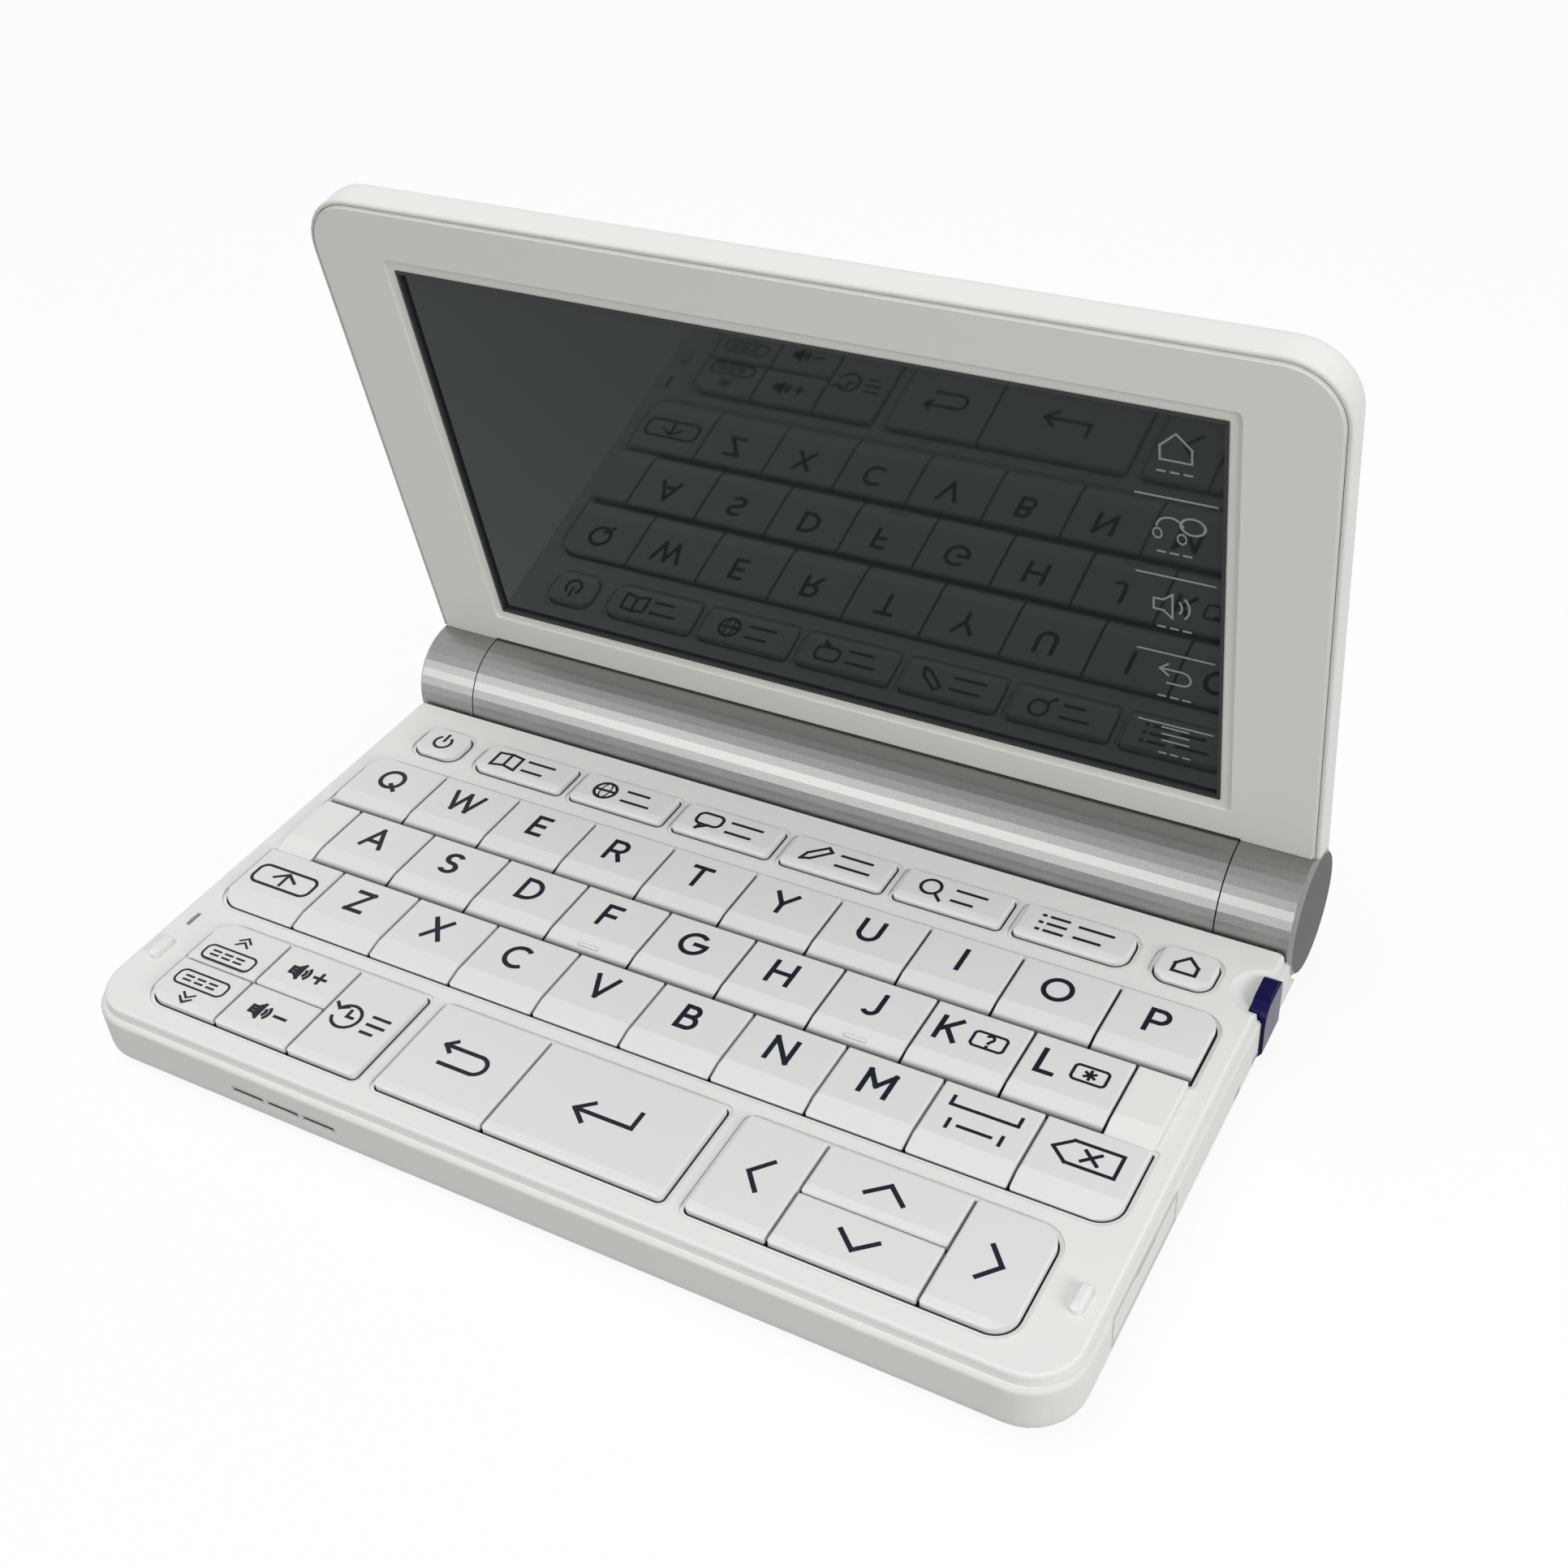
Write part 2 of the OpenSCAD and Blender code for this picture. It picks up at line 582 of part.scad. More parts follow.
// Two end knuckles that turn with the lid, with stubs in the barrel and tongues in the lid.
module hinge_knuckles() {
    end_bevel = 0.7;
    color("silver") for (side = [-1, 1]) {
        inner = side * knuckle_x;
        union() {
            intersection() {
                barrel_prism(barrel_r, min(inner, side * body_w / 2), max(inner, side * body_w / 2));
                translate([0, axis_y, axis_z]) rotate([0, side * 90, 0]) rotate_extrude()
                    polygon([[0, 0], [barrel_r + 1, 0], [barrel_r + 1, body_w / 2 - end_bevel - 1],
                             [barrel_r, body_w / 2 - end_bevel], [barrel_r - end_bevel, body_w / 2],
                             [0, body_w / 2]]);
            }
            axis_cylinder(stub_d / 2, min(inner, inner - side * stub_length()) - 0.01,
                          max(inner, inner - side * stub_length()) + 0.01);
            lid_pose() translate([inner + side * (knuckle_w / 2) - tongue_w / 2, -tongue_l,
                                  bezel_w + bezel_t + pocket_clear])
                cube([tongue_w, tongue_reach, lid_t - bezel_t - back_t - 2 * pocket_clear]);
        }
    }
}

// Small cover over the card socket in the right side.
module card_cover() {
    w = card_w - 2 * fit_gap;
    h = card_h - 2 * fit_gap;
    half = card_t / 2;
    color("white") difference() {
        union() {
            translate([body_w / 2 - card_t, card_y + fit_gap, card_low_z + fit_gap + half])
                cube([card_t, w, h - half]);
            translate([body_w / 2 - half, card_y + fit_gap, card_low_z + fit_gap + half])
                rotate([-90, 0, 0]) cylinder(r = half, h = w);
        }
        // Finger notch at the top of the cover.
        translate([body_w / 2 - 0.5, card_y + card_w / 2 - 3, card_low_z + fit_gap + h - 0.6])
            cube([over, 6, over]);
    }
}

// Printed board with its key domes, sockets, speaker and main parts.
module circuit_board() {
    color("seagreen") difference() {
        union() {
            difference() {
                translate([-board_half_w, board_front_y, board_z])
                    cube([2 * board_half_w, board_rear_y - board_front_y, board_t]);
                translate([-body_w / 2, jack_y - jack_block_w / 2 + 0.4, board_z - over])
                    cube([jack_l - 1, jack_block_w - 0.8, 3 * over]);
            }
            for (k = KEYS) translate([k[1] + k[3] / 2, k[2] + k[4] / 2, board_z + board_t - 0.1])
                cylinder(r = dome_r, h = dome_h + 0.1);
            // Earphone socket.
            translate([-body_w / 2 + wall_t + 0.1, jack_y - jack_block_w / 2, floor_z + 0.1])
                cube([jack_l - wall_t, jack_block_w, jack_block_top_z - floor_z - 0.1]);
            translate([-body_w / 2 + 0.3, jack_y, jack_z]) rotate([0, 90, 0])
                cylinder(r = jack_nose_r, h = wall_t + over);
            // Data socket.
            translate([-body_w / 2 + wall_t + 0.1, usb_y - usb_w / 2, board_z - usb_t])
                cube([6, usb_w, usb_t + 0.2]);
            // Card socket, processor, memory and speaker.
            translate([board_half_w - card_socket_l - 0.5, card_y + (card_w - card_socket_w) / 2,
                       board_z - card_socket_t])
                cube([card_socket_l, card_socket_w, card_socket_t + 0.2]);
            translate([-processor_w / 2, rows_rear_y - processor_y, board_z - chip_t])
                cube([processor_w, processor_w, chip_t + 0.2]);
            translate([memory_x, rows_rear_y - memory_y, board_z - chip_t])
                cube([memory_w, memory_d, chip_t + 0.2]);
            translate([speaker_x, speaker_y, floor_z + 0.4])
                cylinder(r = speaker_r, h = board_z - floor_z - 0.2);
        }
        translate([-body_w / 2, jack_y, jack_z]) rotate([0, 90, 0])
            cylinder(r = jack_r, h = jack_l);
        translate([-body_w / 2, usb_y - usb_w / 2 + 0.4, board_z - usb_t + 0.4])
            cube([wall_t + 5, usb_w - 0.8, usb_t - 0.8]);
    }
}

// Two AA cells end to end in the barrel.
module aa_cells() {
    button_r = 2.7;
    button_h = 1.0;
    sag = chamber_d / 2 - cell_d / 2 - 0.1;
    color("dimgray") for (i = [0, 1]) translate([(i - 1) * (cell_l + 0.2) + 0.1, 0, -sag]) {
        axis_cylinder(cell_d / 2, 0, cell_l - button_h);
        axis_cylinder(button_r, cell_l - button_h - 0.1, cell_l);
    }
}

// Flat stylus, stored across the case, with its head in the right side.
module stylus() {
    shaft_z = floor_z + 0.3;
    tip_l = 7;
    front_r = 3.0;
    rear_r = 1.3;
    low_r = 1.0;
    ease = 0.35;
    head_h = head_top_z - head_low_z;
    color("navy") union() {
        translate([head_x, stylus_y - head_w / 2, head_low_z]) intersection() {
            rotate([90, 0, 90]) linear_extrude(head_t)
                corner_rect(head_w, head_h, [front_r, rear_r, low_r, low_r]);
            translate([0, head_w, 0]) rotate([90, 0, 0]) linear_extrude(head_w)
                polygon([[0, 0], [head_t - edge_r / 2, 0], [head_t, edge_r * 0.75],
                         [head_t, head_h - ease], [head_t - ease, head_h], [0, head_h]]);
        }
        translate([head_x + 0.1, stylus_y, shaft_z]) rotate([0, -90, 0])
            linear_extrude(stylus_l - tip_l) translate([0, -stylus_w / 2])
                corner_rect(stylus_t, stylus_w, [0.8, 0.8, 0.8, 0.8]);
        translate([head_x + 0.1 - stylus_l + tip_l, stylus_y, shaft_z + stylus_t / 2])
            rotate([0, -90, 0]) cylinder(r1 = 1.4, r2 = 0.5, h = tip_l);
    }
}

// The lid is drawn closed and turned about the barrel axis.
bezel_w = lid_gap + key_proud - axis_rise;
lid_half_w = body_w / 2;
lid_reach = axis_to_front;
bezel_inset = 0.7;
module lid_pose() {
    translate([0, axis_y, axis_z]) rotate([-open_angle, 0, 0]) children();
}

// Clears the turning barrel in the middle and seats the lid on its knuckles.
module hinge_relief(extra) {
    translate([-knuckle_x - extra, 0, 0]) rotate([0, 90, 0])
        cylinder(r = saddle_r + extra, h = 2 * knuckle_x + 2 * extra);
    translate([-body_w, 0, 0]) rotate([0, 90, 0])
        cylinder(r = barrel_r + 0.02 + extra, h = 2 * body_w);
}

lid_corner_r = 8.5;

module lid_plan(inset, low) {
    w = 2 * (lid_half_w - inset);
    r = lid_corner_r - inset;
    translate([-w / 2, -lid_reach + inset])
        corner_rect(w, lid_reach - inset - low, [0.4, 0.4, r, r]);
}

// Outer shell of the lid.
module lid_back_cover() {
    rim_drop = 0.3;
    back = bezel_w + lid_t;
    ledge = bezel_w + bezel_t;
    inner_low = 4.5;
    rib_t = back - back_t - (bezel_w + screen_recess + display_t + 0.1);
    color("white") lid_pose() difference() {
        union() {
            difference() {
                eased_plan([for (v = concat([[0, 0.25], [0.4, 0]],
                        [for (q = quarter(0, lid_edge_r, 4)) [lid_t - rim_drop - q[0], q[1]]]))
                        [v[0] + bezel_w + rim_drop, v[1]]],
                        lid_half_w, -lid_reach, -inner_low, lid_corner_r);
                difference() {
                    translate([0, 0, ledge]) linear_extrude(back - back_t - ledge)
                        lid_plan(lid_wall, inner_low + 1);
                    hinge_relief(1.2);
                }
                linear_extrude(ledge) lid_plan(bezel_inset - 0.1, 0);
            }
            // Ribs that back the display.
            for (v = [0.25, 0.5, 0.75])
                translate([-screen_w / 2, -screen_from_axis - v * screen_h - 0.6,
                           back - back_t - rib_t])
                    cube([screen_w, 1.2, rib_t + 0.2]);
        }
        hinge_relief(0);
        // Pockets for the knuckle tongues.
        for (side = [-1, 1])
            translate([side * (knuckle_x + knuckle_w / 2) - tongue_w / 2 - pocket_clear,
                       -tongue_l - pocket_clear, ledge])
                cube([tongue_w + 2 * pocket_clear, tongue_l + pocket_clear,
                      back - back_t - ledge - 0.1]);
    }
}

// Front frame round the screen.
module lid_bezel() {
    ledge = bezel_w + bezel_t;
    step_depth = 0.35;
    frame_w = screen_w + 2 * screen_step;
    ring_w = screen_w + 8;
    color("whitesmoke") lid_pose() difference() {
        union() {
            translate([0, 0, bezel_w]) linear_extrude(0.35) lid_plan(bezel_inset + 0.3, 4);
            translate([0, 0, bezel_w + 0.3]) linear_extrude(bezel_t - 0.3)
                lid_plan(bezel_inset, 4);
            // Ring that locates the display.
            translate([-ring_w / 2, -screen_from_axis - screen_h - 4, ledge - 0.1])
                cube([ring_w, screen_h + 7, display_t * 0.4]);
        }
        // Pocket for the display, behind the opening.
        translate([-display_w / 2 - fit_gap, -screen_from_axis - screen_h - display_edge - fit_gap,
                   bezel_w + screen_recess])
            cube([display_w + 2 * fit_gap, screen_h + 2 * display_edge + 2 * fit_gap, lid_t]);
        translate([-screen_w / 2, -screen_from_axis - screen_h, 0])
            cube([screen_w, screen_h, ledge + over]);
        translate([-frame_w / 2, -screen_from_axis - screen_h - screen_step, bezel_w - over])
            linear_extrude(over + step_depth)
                corner_rect(frame_w, screen_h + 2 * screen_step, [0.8, 0.8, 0.8, 0.8]);
        hinge_relief(0);
    }
}

// Display glass and module behind the bezel.
display_edge = 1.6;
display_w = screen_w + 2 * display_edge;
module display_panel() {
    color("darkslategray") lid_pose()
        translate([-display_w / 2, -screen_from_axis - screen_h - display_edge,
                   bezel_w + screen_recess])
            cube([display_w, screen_h + 2 * display_edge, display_t]);
}

bottom_case();
keyboard_deck();
hinge_barrel();
hinge_knuckles();
battery_cover();
card_cover();
circuit_board();
aa_cells();
stylus();
lid_back_cover();
lid_bezel();
display_panel();
for (k = KEYS) key(k);
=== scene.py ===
# %% [markdown]
# An electronic dictionary, open on a table.
# The solid parts come ready from the construction model, so this script never shapes them.
# It gives every part its finish, prints the key legends and the screen's soft keys, and adds
# the small trim: screws, rubber pads, springs and a lamp window.
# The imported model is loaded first, because every piece below takes its place from it.

# %% Load the fixed frame
import json
import math

import bmesh
import bpy
from mathutils import Matrix, Vector

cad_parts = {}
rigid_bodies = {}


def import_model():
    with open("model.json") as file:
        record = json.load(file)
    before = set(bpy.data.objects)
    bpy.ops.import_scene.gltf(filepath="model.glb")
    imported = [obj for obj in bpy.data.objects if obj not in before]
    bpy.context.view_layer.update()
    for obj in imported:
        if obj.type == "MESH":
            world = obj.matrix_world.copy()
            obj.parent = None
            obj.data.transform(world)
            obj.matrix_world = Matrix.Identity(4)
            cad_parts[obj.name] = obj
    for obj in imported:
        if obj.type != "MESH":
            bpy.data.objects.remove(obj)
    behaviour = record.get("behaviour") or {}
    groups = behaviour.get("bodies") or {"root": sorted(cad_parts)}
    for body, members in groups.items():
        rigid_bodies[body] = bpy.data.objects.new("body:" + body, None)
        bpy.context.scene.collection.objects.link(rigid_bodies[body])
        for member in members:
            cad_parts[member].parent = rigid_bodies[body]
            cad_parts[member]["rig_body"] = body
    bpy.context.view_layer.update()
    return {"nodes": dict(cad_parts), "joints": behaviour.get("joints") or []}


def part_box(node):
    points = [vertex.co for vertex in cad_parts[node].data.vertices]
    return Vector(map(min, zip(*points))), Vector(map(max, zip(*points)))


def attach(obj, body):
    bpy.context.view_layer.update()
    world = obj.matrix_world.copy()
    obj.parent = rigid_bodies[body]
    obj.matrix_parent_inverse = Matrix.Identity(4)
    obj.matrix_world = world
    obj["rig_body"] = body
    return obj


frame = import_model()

MM = 0.001
nodes = frame["nodes"]
scene = bpy.context.scene

# %% [markdown]
# The camera stands to the right of the front corner and looks down at the keys.
# A camera can be aimed at a target, but a hand-held picture is also rolled a little, so three
# angles are used: azimuth round the object, elevation above the table and roll.
# The lens was chosen so that near and far edges converge as they do on the real object.

# %% Camera
camera_place = Vector((119.459, -172.074, 195.219)) * MM
camera_azimuth = 31.461
camera_elevation = 37.319
camera_roll = -4.333
camera_lens = 45.502

camera_data = bpy.data.cameras.new("camera")
camera_data.sensor_width = 36
camera_data.lens = camera_lens
camera_data.clip_start = 0.01
camera = bpy.data.objects.new("camera", camera_data)
turn = (Matrix.Rotation(math.radians(camera_azimuth), 4, "Z")
        @ Matrix.Rotation(math.radians(90 - camera_elevation), 4, "X")
        @ Matrix.Rotation(math.radians(camera_roll), 4, "Z"))
camera.matrix_world = Matrix.Translation(camera_place) @ turn
scene.collection.objects.link(camera)
scene.camera = camera
print("camera", round(camera_place.length, 3), "m from the middle")

# %% [markdown]
# Materials are sums and products of patterns, and written as node links they are hard to read.
# So one small class wraps a socket: an expression such as 1 - mask * 0.2 then adds the Math
# nodes by itself. Colours are kept out of it, because a Math node turns a colour grey.

# %% A socket that can be used in sums
class Value:
    def __init__(self, graph, socket):
        self.graph = graph
        self.socket = socket

    def _math(self, operation, first, second):
        return self.graph.node("ShaderNodeMath", {"operation": operation}, {0: first, 1: second})

    def __add__(self, other):
        return self._math("ADD", self, other)

    def __radd__(self, other):
        return self._math("ADD", other, self)

    def __sub__(self, other):
        return self._math("SUBTRACT", self, other)

    def __rsub__(self, other):
        return self._math("SUBTRACT", other, self)

    def __mul__(self, other):
        return self._math("MULTIPLY", self, other)

    def __rmul__(self, other):
        return self._math("MULTIPLY", other, self)

    def __gt__(self, other):
        return self._math("GREATER_THAN", self, other)

    def __lt__(self, other):
        return self._math("LESS_THAN", self, other)


print("sockets can be added, taken away, multiplied and compared")

# %% [markdown]
# One method adds any other node: its type, its settings, then its sockets, in that order,
# because some settings change which sockets a node has. Materials and the sky share it.
# The floor and the sky also ask what kind of ray sees them, since the camera, a mirror and
# glass should all find them white, while the light that they throw is less.

# %% A graph of nodes
class Graph:
    def __init__(self, tree):
        self.tree = tree

    def node(self, kind, settings=None, sockets=None, output=0):
        made = self.tree.nodes.new(kind)
        for setting, value in (settings or {}).items():
            setattr(made, setting, value)
        for socket, value in (sockets or {}).items():
            if isinstance(value, Value):
                self.tree.links.new(value.socket, made.inputs[socket])
            else:
                made.inputs[socket].default_value = value
        return Value(self, made.outputs[output])

    def looked_at(self):
        camera_ray, mirror_ray, glass_ray = (
            self.node("ShaderNodeLightPath", output=f"Is {ray} Ray")
            for ray in ("Camera", "Glossy", "Transmission"))
        return self.node("ShaderNodeClamp", None, {"Value": camera_ray + mirror_ray + glass_ray})


print("one way to add a node")

# %% [markdown]
# A finish is a material with one Principled shader and whatever patterns feed it.
# Every pattern reads object coordinates in millimetres, so its scale is a real size.
# A Mix node that is set to colour has its two colours at sockets 6 and 7 and its result at 2.

# %% A finish and its patterns
class Finish(Graph):
    def __init__(self, name, **constants):
        self.material = bpy.data.materials.new(name)
        self.material.use_nodes = True
        super().__init__(self.material.node_tree)
        self.shader = self.tree.nodes["Principled BSDF"]
        for socket, value in constants.items():
            self.shader.inputs[socket.replace("_", " ")].default_value = value
        self._place = None

    def feed(self, socket, value):
        self.tree.links.new(value.socket, self.shader.inputs[socket])

    def place(self):
        if self._place is None:
            spot = self.node("ShaderNodeTexCoord", output="Object")
            self._place = self.node("ShaderNodeVectorMath", {"operation": "SCALE"},
                                    {0: spot, "Scale": 1 / MM}, "Vector")
        return self._place

    def noise(self, size, detail=2.0, rough=0.5, stretch=(1, 1, 1)):
        spot = self.node("ShaderNodeMapping", {"vector_type": "POINT"},
                         {"Vector": self.place(), "Scale": stretch}, "Vector")
        return self.node("ShaderNodeTexNoise", {"noise_dimensions": "3D"},
                         {"Vector": spot, "Scale": 1 / size, "Detail": detail,
                          "Roughness": rough}, "Fac")

    def axis(self, number):
        return self.node("ShaderNodeSeparateXYZ", None, {"Vector": self.place()}, number)

    def ramp(self, value, low, high):
        return self.node("ShaderNodeMapRange", {"interpolation_type": "SMOOTHSTEP"},
                         {"Value": value, "From Min": low, "From Max": high}, "Result")

    def mix(self, factor, first, second):
        return self.node("ShaderNodeMix", {"data_type": "RGBA"},
                         {0: factor, 6: first, 7: second}, 2)

    def bump(self, height, depth, base=None):
        sockets = {"Strength": 1.0, "Distance": depth * MM, "Height": height}
        if base is not None:
            sockets["Normal"] = base
        self.feed("Normal", self.node("ShaderNodeBump", None, sockets, "Normal"))


def srgb(red, green, blue):
    def linear(level):
        level /= 255
        return level / 12.92 if level <= 0.04045 else ((level + 0.055) / 1.055) ** 2.4
    return (linear(red), linear(green), linear(blue), 1.0)


print("shader helpers ready")

# %% [markdown]
# The shells are injection-moulded white plastic with a fine spark-eroded grain, which takes
# away the gloss. A flat white would look like paper. Here a slow drift of tone stands for the
# mould's flow, a fine grain lifts the surface by hundredths of a millimetre, and the gloss
# wanders a little, as where fingers have polished it. The gaps round the keys are dark on the
# real object, because they are deep and narrow and little light gets down. That shade is
# painted into the colour: the tone falls to a painted dark shade inside a box that lies below
# the tops of the keys, and in another behind the speaker slots.
# The model's edges are sharp, so a bevel of the normals rounds them by a quarter millimetre.
# The outer shells are rounder on the real object and get four times as much.

# %% Moulded plastic
# Painted shade: the dark tone that stands for the shade in the gaps and slots.
PAINTED_GAP_SHADE = srgb(64, 60, 58)
SOFT_EDGE = 0.25
CASE_EDGE = 1.0


# Painted shade mask: full inside the box, fading out towards the top of its height range.
def painted_shade_mask(finish, across, along, up):
    x, y, z = (finish.axis(number) for number in range(3))
    inside = (x > across[0]) * (x < across[1]) * (y > along[0]) * (y < along[1]) * (z > up[0])
    return inside * (1 - finish.ramp(z, up[1], up[2]))


def moulded(name, tone, drift=0.03, grain=0.22, depth=0.012, gloss=0.5, painted_shade_boxes=(), edge=SOFT_EDGE,
            **constants):
    finish = Finish(name, **constants)
    flow = finish.noise(38.0, detail=3.0)
    speck = finish.noise(0.5, detail=2.0, rough=0.6)
    shade = tuple(channel * (1 - drift) for channel in tone[:3]) + (1.0,)
    warm = (tone[0], tone[1] * 0.992, tone[2] * 0.975, 1.0)
    body = finish.mix(flow, tone, shade)
    grained = finish.mix(speck * 0.5, body, warm)
    # Paint the shade of each gap box into the colour.
    for painted_shade_box in painted_shade_boxes:
        grained = finish.mix(painted_shade_mask(finish, *painted_shade_box), grained, PAINTED_GAP_SHADE)
    finish.feed("Base Color", grained)
    finish.feed("Roughness", gloss - 0.05 + 0.1 * finish.noise(9.0, detail=4.0))
    rounded = finish.node("ShaderNodeBevel", {"samples": 6}, {"Radius": edge * MM})
    finish.bump(finish.noise(grain, detail=3.0, rough=0.65), depth, base=rounded)
    return finish.material


# Boxes of painted shade: the key fields, the speaker slots, and the heights where the painted
# shade fades out on the deck, the keys and the rows that slope.
LETTER_FIELD = (-71.0, 71.0), (-45.2, 15.2)
FUNCTION_FIELD = (-67.5, 67.5), (15.2, 30.0)
SPEAKER_SLOT_SHADE = (-51.0, -27.0), (-48.8, -40.0), (3.6, 5.3, 5.4)
DECK_SHADE = (0, 9.2, 9.7)
KEY_SHADE = (0, 9.55, 9.95)
ROW_SHADE = (0, 10.06, 10.36)


def fields(shade):
    return [field + (shade,) for field in (LETTER_FIELD, FUNCTION_FIELD)]


shell_white = moulded("shell_white", srgb(231, 232, 228), painted_shade_boxes=[SPEAKER_SLOT_SHADE], edge=CASE_EDGE,
                      IOR=1.49)
deck_white = moulded("deck_white", srgb(232, 234, 231), grain=0.3, depth=0.008, gloss=0.46,
                     painted_shade_boxes=fields(DECK_SHADE), IOR=1.49)
key_white = moulded("key_white", srgb(226, 228, 226), grain=0.16, depth=0.006, gloss=0.42,
                    painted_shade_boxes=fields(KEY_SHADE), IOR=1.49)
row_white = moulded("row_white", srgb(226, 228, 226), grain=0.16, depth=0.006, gloss=0.42,
                    painted_shade_boxes=[LETTER_FIELD + (ROW_SHADE,)], IOR=1.49)
bezel_white = moulded("bezel_white", srgb(228, 228, 222), grain=0.34, depth=0.02, gloss=0.52,
                      IOR=1.49)
print("plastics:", shell_white.name, deck_white.name, key_white.name, row_white.name,
      bezel_white.name)

# %% [markdown]
# The barrel and its knuckles are plastic sprayed with silver lacquer. Real metal would mirror
# the keys sharply. Lacquer holds tiny flakes at slightly different tilts, so the shine breaks
# up into a sparkle that only shows close by. Flakes are cells of a Voronoi pattern: each cell
# gets its own tone and its own height in the bump. The flat end discs are matt, and their tone
# is darkened as painted shade, for the dark surroundings that they reflect.

# %% Silver lacquer
DISC_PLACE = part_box("hinge_knuckles")[1].x / MM - 0.05
# Painted shade on the end discs: their tone is scaled down to this share.
DISC_SHADE = 0.62
DISC_MATT = 0.45


def lacquer(name, tone, metal=0.9, gloss=0.36, flake=0.16):
    finish = Finish(name, Metallic=metal, IOR=1.5)
    flat = finish.node("ShaderNodeNewGeometry", output="True Normal")
    cells = finish.node("ShaderNodeTexVoronoi", {"feature": "F1"},
                        {"Vector": finish.place(), "Scale": 1 / flake}, "Color")
    sparkle = finish.node("ShaderNodeSeparateColor", None, {"Color": cells}, 0)
    dark = tuple(channel * 0.92 for channel in tone[:3]) + (1.0,)
    light = tuple(min(1.0, channel * 1.07) for channel in tone[:3]) + (1.0,)
    # The end discs' tone with the painted shade in it.
    painted_dark_disc = tuple(channel * DISC_SHADE for channel in tone[:3]) + (1.0,)
    x = finish.axis(0)
    ends = (x > DISC_PLACE) + (x < -DISC_PLACE)
    finish.feed("Base Color", finish.mix(ends, finish.mix(sparkle, dark, light), painted_dark_disc))
    finish.feed("Roughness", gloss - 0.04 + 0.08 * sparkle + DISC_MATT * ends)
    finish.bump(sparkle + 0.6 * finish.noise(1.1, detail=2.0), 0.002, base=flat)
    return finish.material


silver = lacquer("silver_lacquer", srgb(146, 148, 145))
print("lacquer:", silver.name)

# %% [markdown]
# The stylus has a navy head. The pigment is so deep that every reflection shows on it, so its
# shine is held down, and only the tone and the smoothness drift a little.

# %% Navy stylus
def glossy_pigment(name, tone, gloss=0.26):
    finish = Finish(name, Specular_IOR_Level=0.2, IOR=1.4)
    deep = tuple(channel * 0.7 for channel in tone[:3]) + (1.0,)
    finish.feed("Base Color", finish.mix(finish.noise(3.0, detail=2.0), tone, deep))
    finish.feed("Roughness", gloss - 0.04 + 0.1 * finish.noise(1.6, detail=3.0))
    finish.bump(finish.noise(2.4, detail=2.0), 0.006)
    return finish.material


navy = glossy_pigment("navy_gloss", srgb(6, 6, 72))
print("stylus:", navy.name)

# %% [markdown]
# The display is a dark glass face over a panel that is switched off. What shows on it is
# mostly the mirror image of the keyboard, so the face is nearly smooth. Only a very fine, faint
# bump lies over it, too fine to see except as a slight softness.

# %% Display glass
def display_glass(name, tone):
    finish = Finish(name, IOR=1.38)
    lighter = tuple(channel * 1.25 for channel in tone[:3]) + (1.0,)
    finish.feed("Base Color", finish.mix(finish.noise(60.0, detail=2.0), tone, lighter))
    finish.feed("Roughness", 0.02 + 0.02 * finish.noise(24.0, detail=3.0))
    finish.bump(finish.noise(0.35, detail=1.0), 0.0002)
    return finish.material


glass_dark = display_glass("display_glass", srgb(31, 40, 41))
print("display:", glass_dark.name)

# %% [markdown]
# Inside is a green board. Its solder mask is a glossy lacquer over copper tracks, and the
# tracks show as paler lines. A brick pattern with very thin mortar gives right-angled runs,
# and a coarse noise lets them start and stop. The sockets hang below the board at its left
# end and are black, so everything there that lies under the board takes another tone.

# %% Circuit board
SOCKET_END = -57.0
SOCKET_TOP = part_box("circuit_board")[1].z / MM - 1.4


def solder_mask(name):
    finish = Finish(name, Coat_Weight=0.4, Coat_Roughness=0.15)
    green, track, gold = srgb(22, 84, 52), srgb(46, 122, 74), srgb(190, 150, 70)
    runs = finish.node("ShaderNodeTexBrick", {"offset": 0.37},
                       {"Vector": finish.place(), "Color1": (0, 0, 0, 1), "Color2": (0, 0, 0, 1),
                        "Mortar": (1, 1, 1, 1), "Scale": 0.32, "Mortar Size": 0.035}, "Fac")
    present = finish.noise(14.0, detail=1.0) > 0.45
    copper = finish.mix(runs * present, green, track)
    sockets = (finish.axis(0) < SOCKET_END) * (finish.axis(2) < SOCKET_TOP)
    pads = finish.node("ShaderNodeTexVoronoi", {"feature": "F1"},
                       {"Vector": finish.place(), "Scale": 0.28, "Randomness": 0.35}, "Distance")
    plated = finish.mix(pads < 0.16, copper, gold)
    finish.feed("Base Color", finish.mix(sockets, plated, srgb(38, 38, 40)))
    finish.feed("Roughness", 0.34 + 0.2 * finish.noise(3.0, detail=2.0))
    finish.bump(runs * present, 0.03)
    return finish.material


board_green = solder_mask("board_green")
print("board:", board_green.name)

# %% [markdown]
# A dry cell wears a printed plastic sleeve, with bare steel at its button end. The two cells
# lie in a row along X, so bands along X colour both. The places of the bands come from the
# cells' own box.

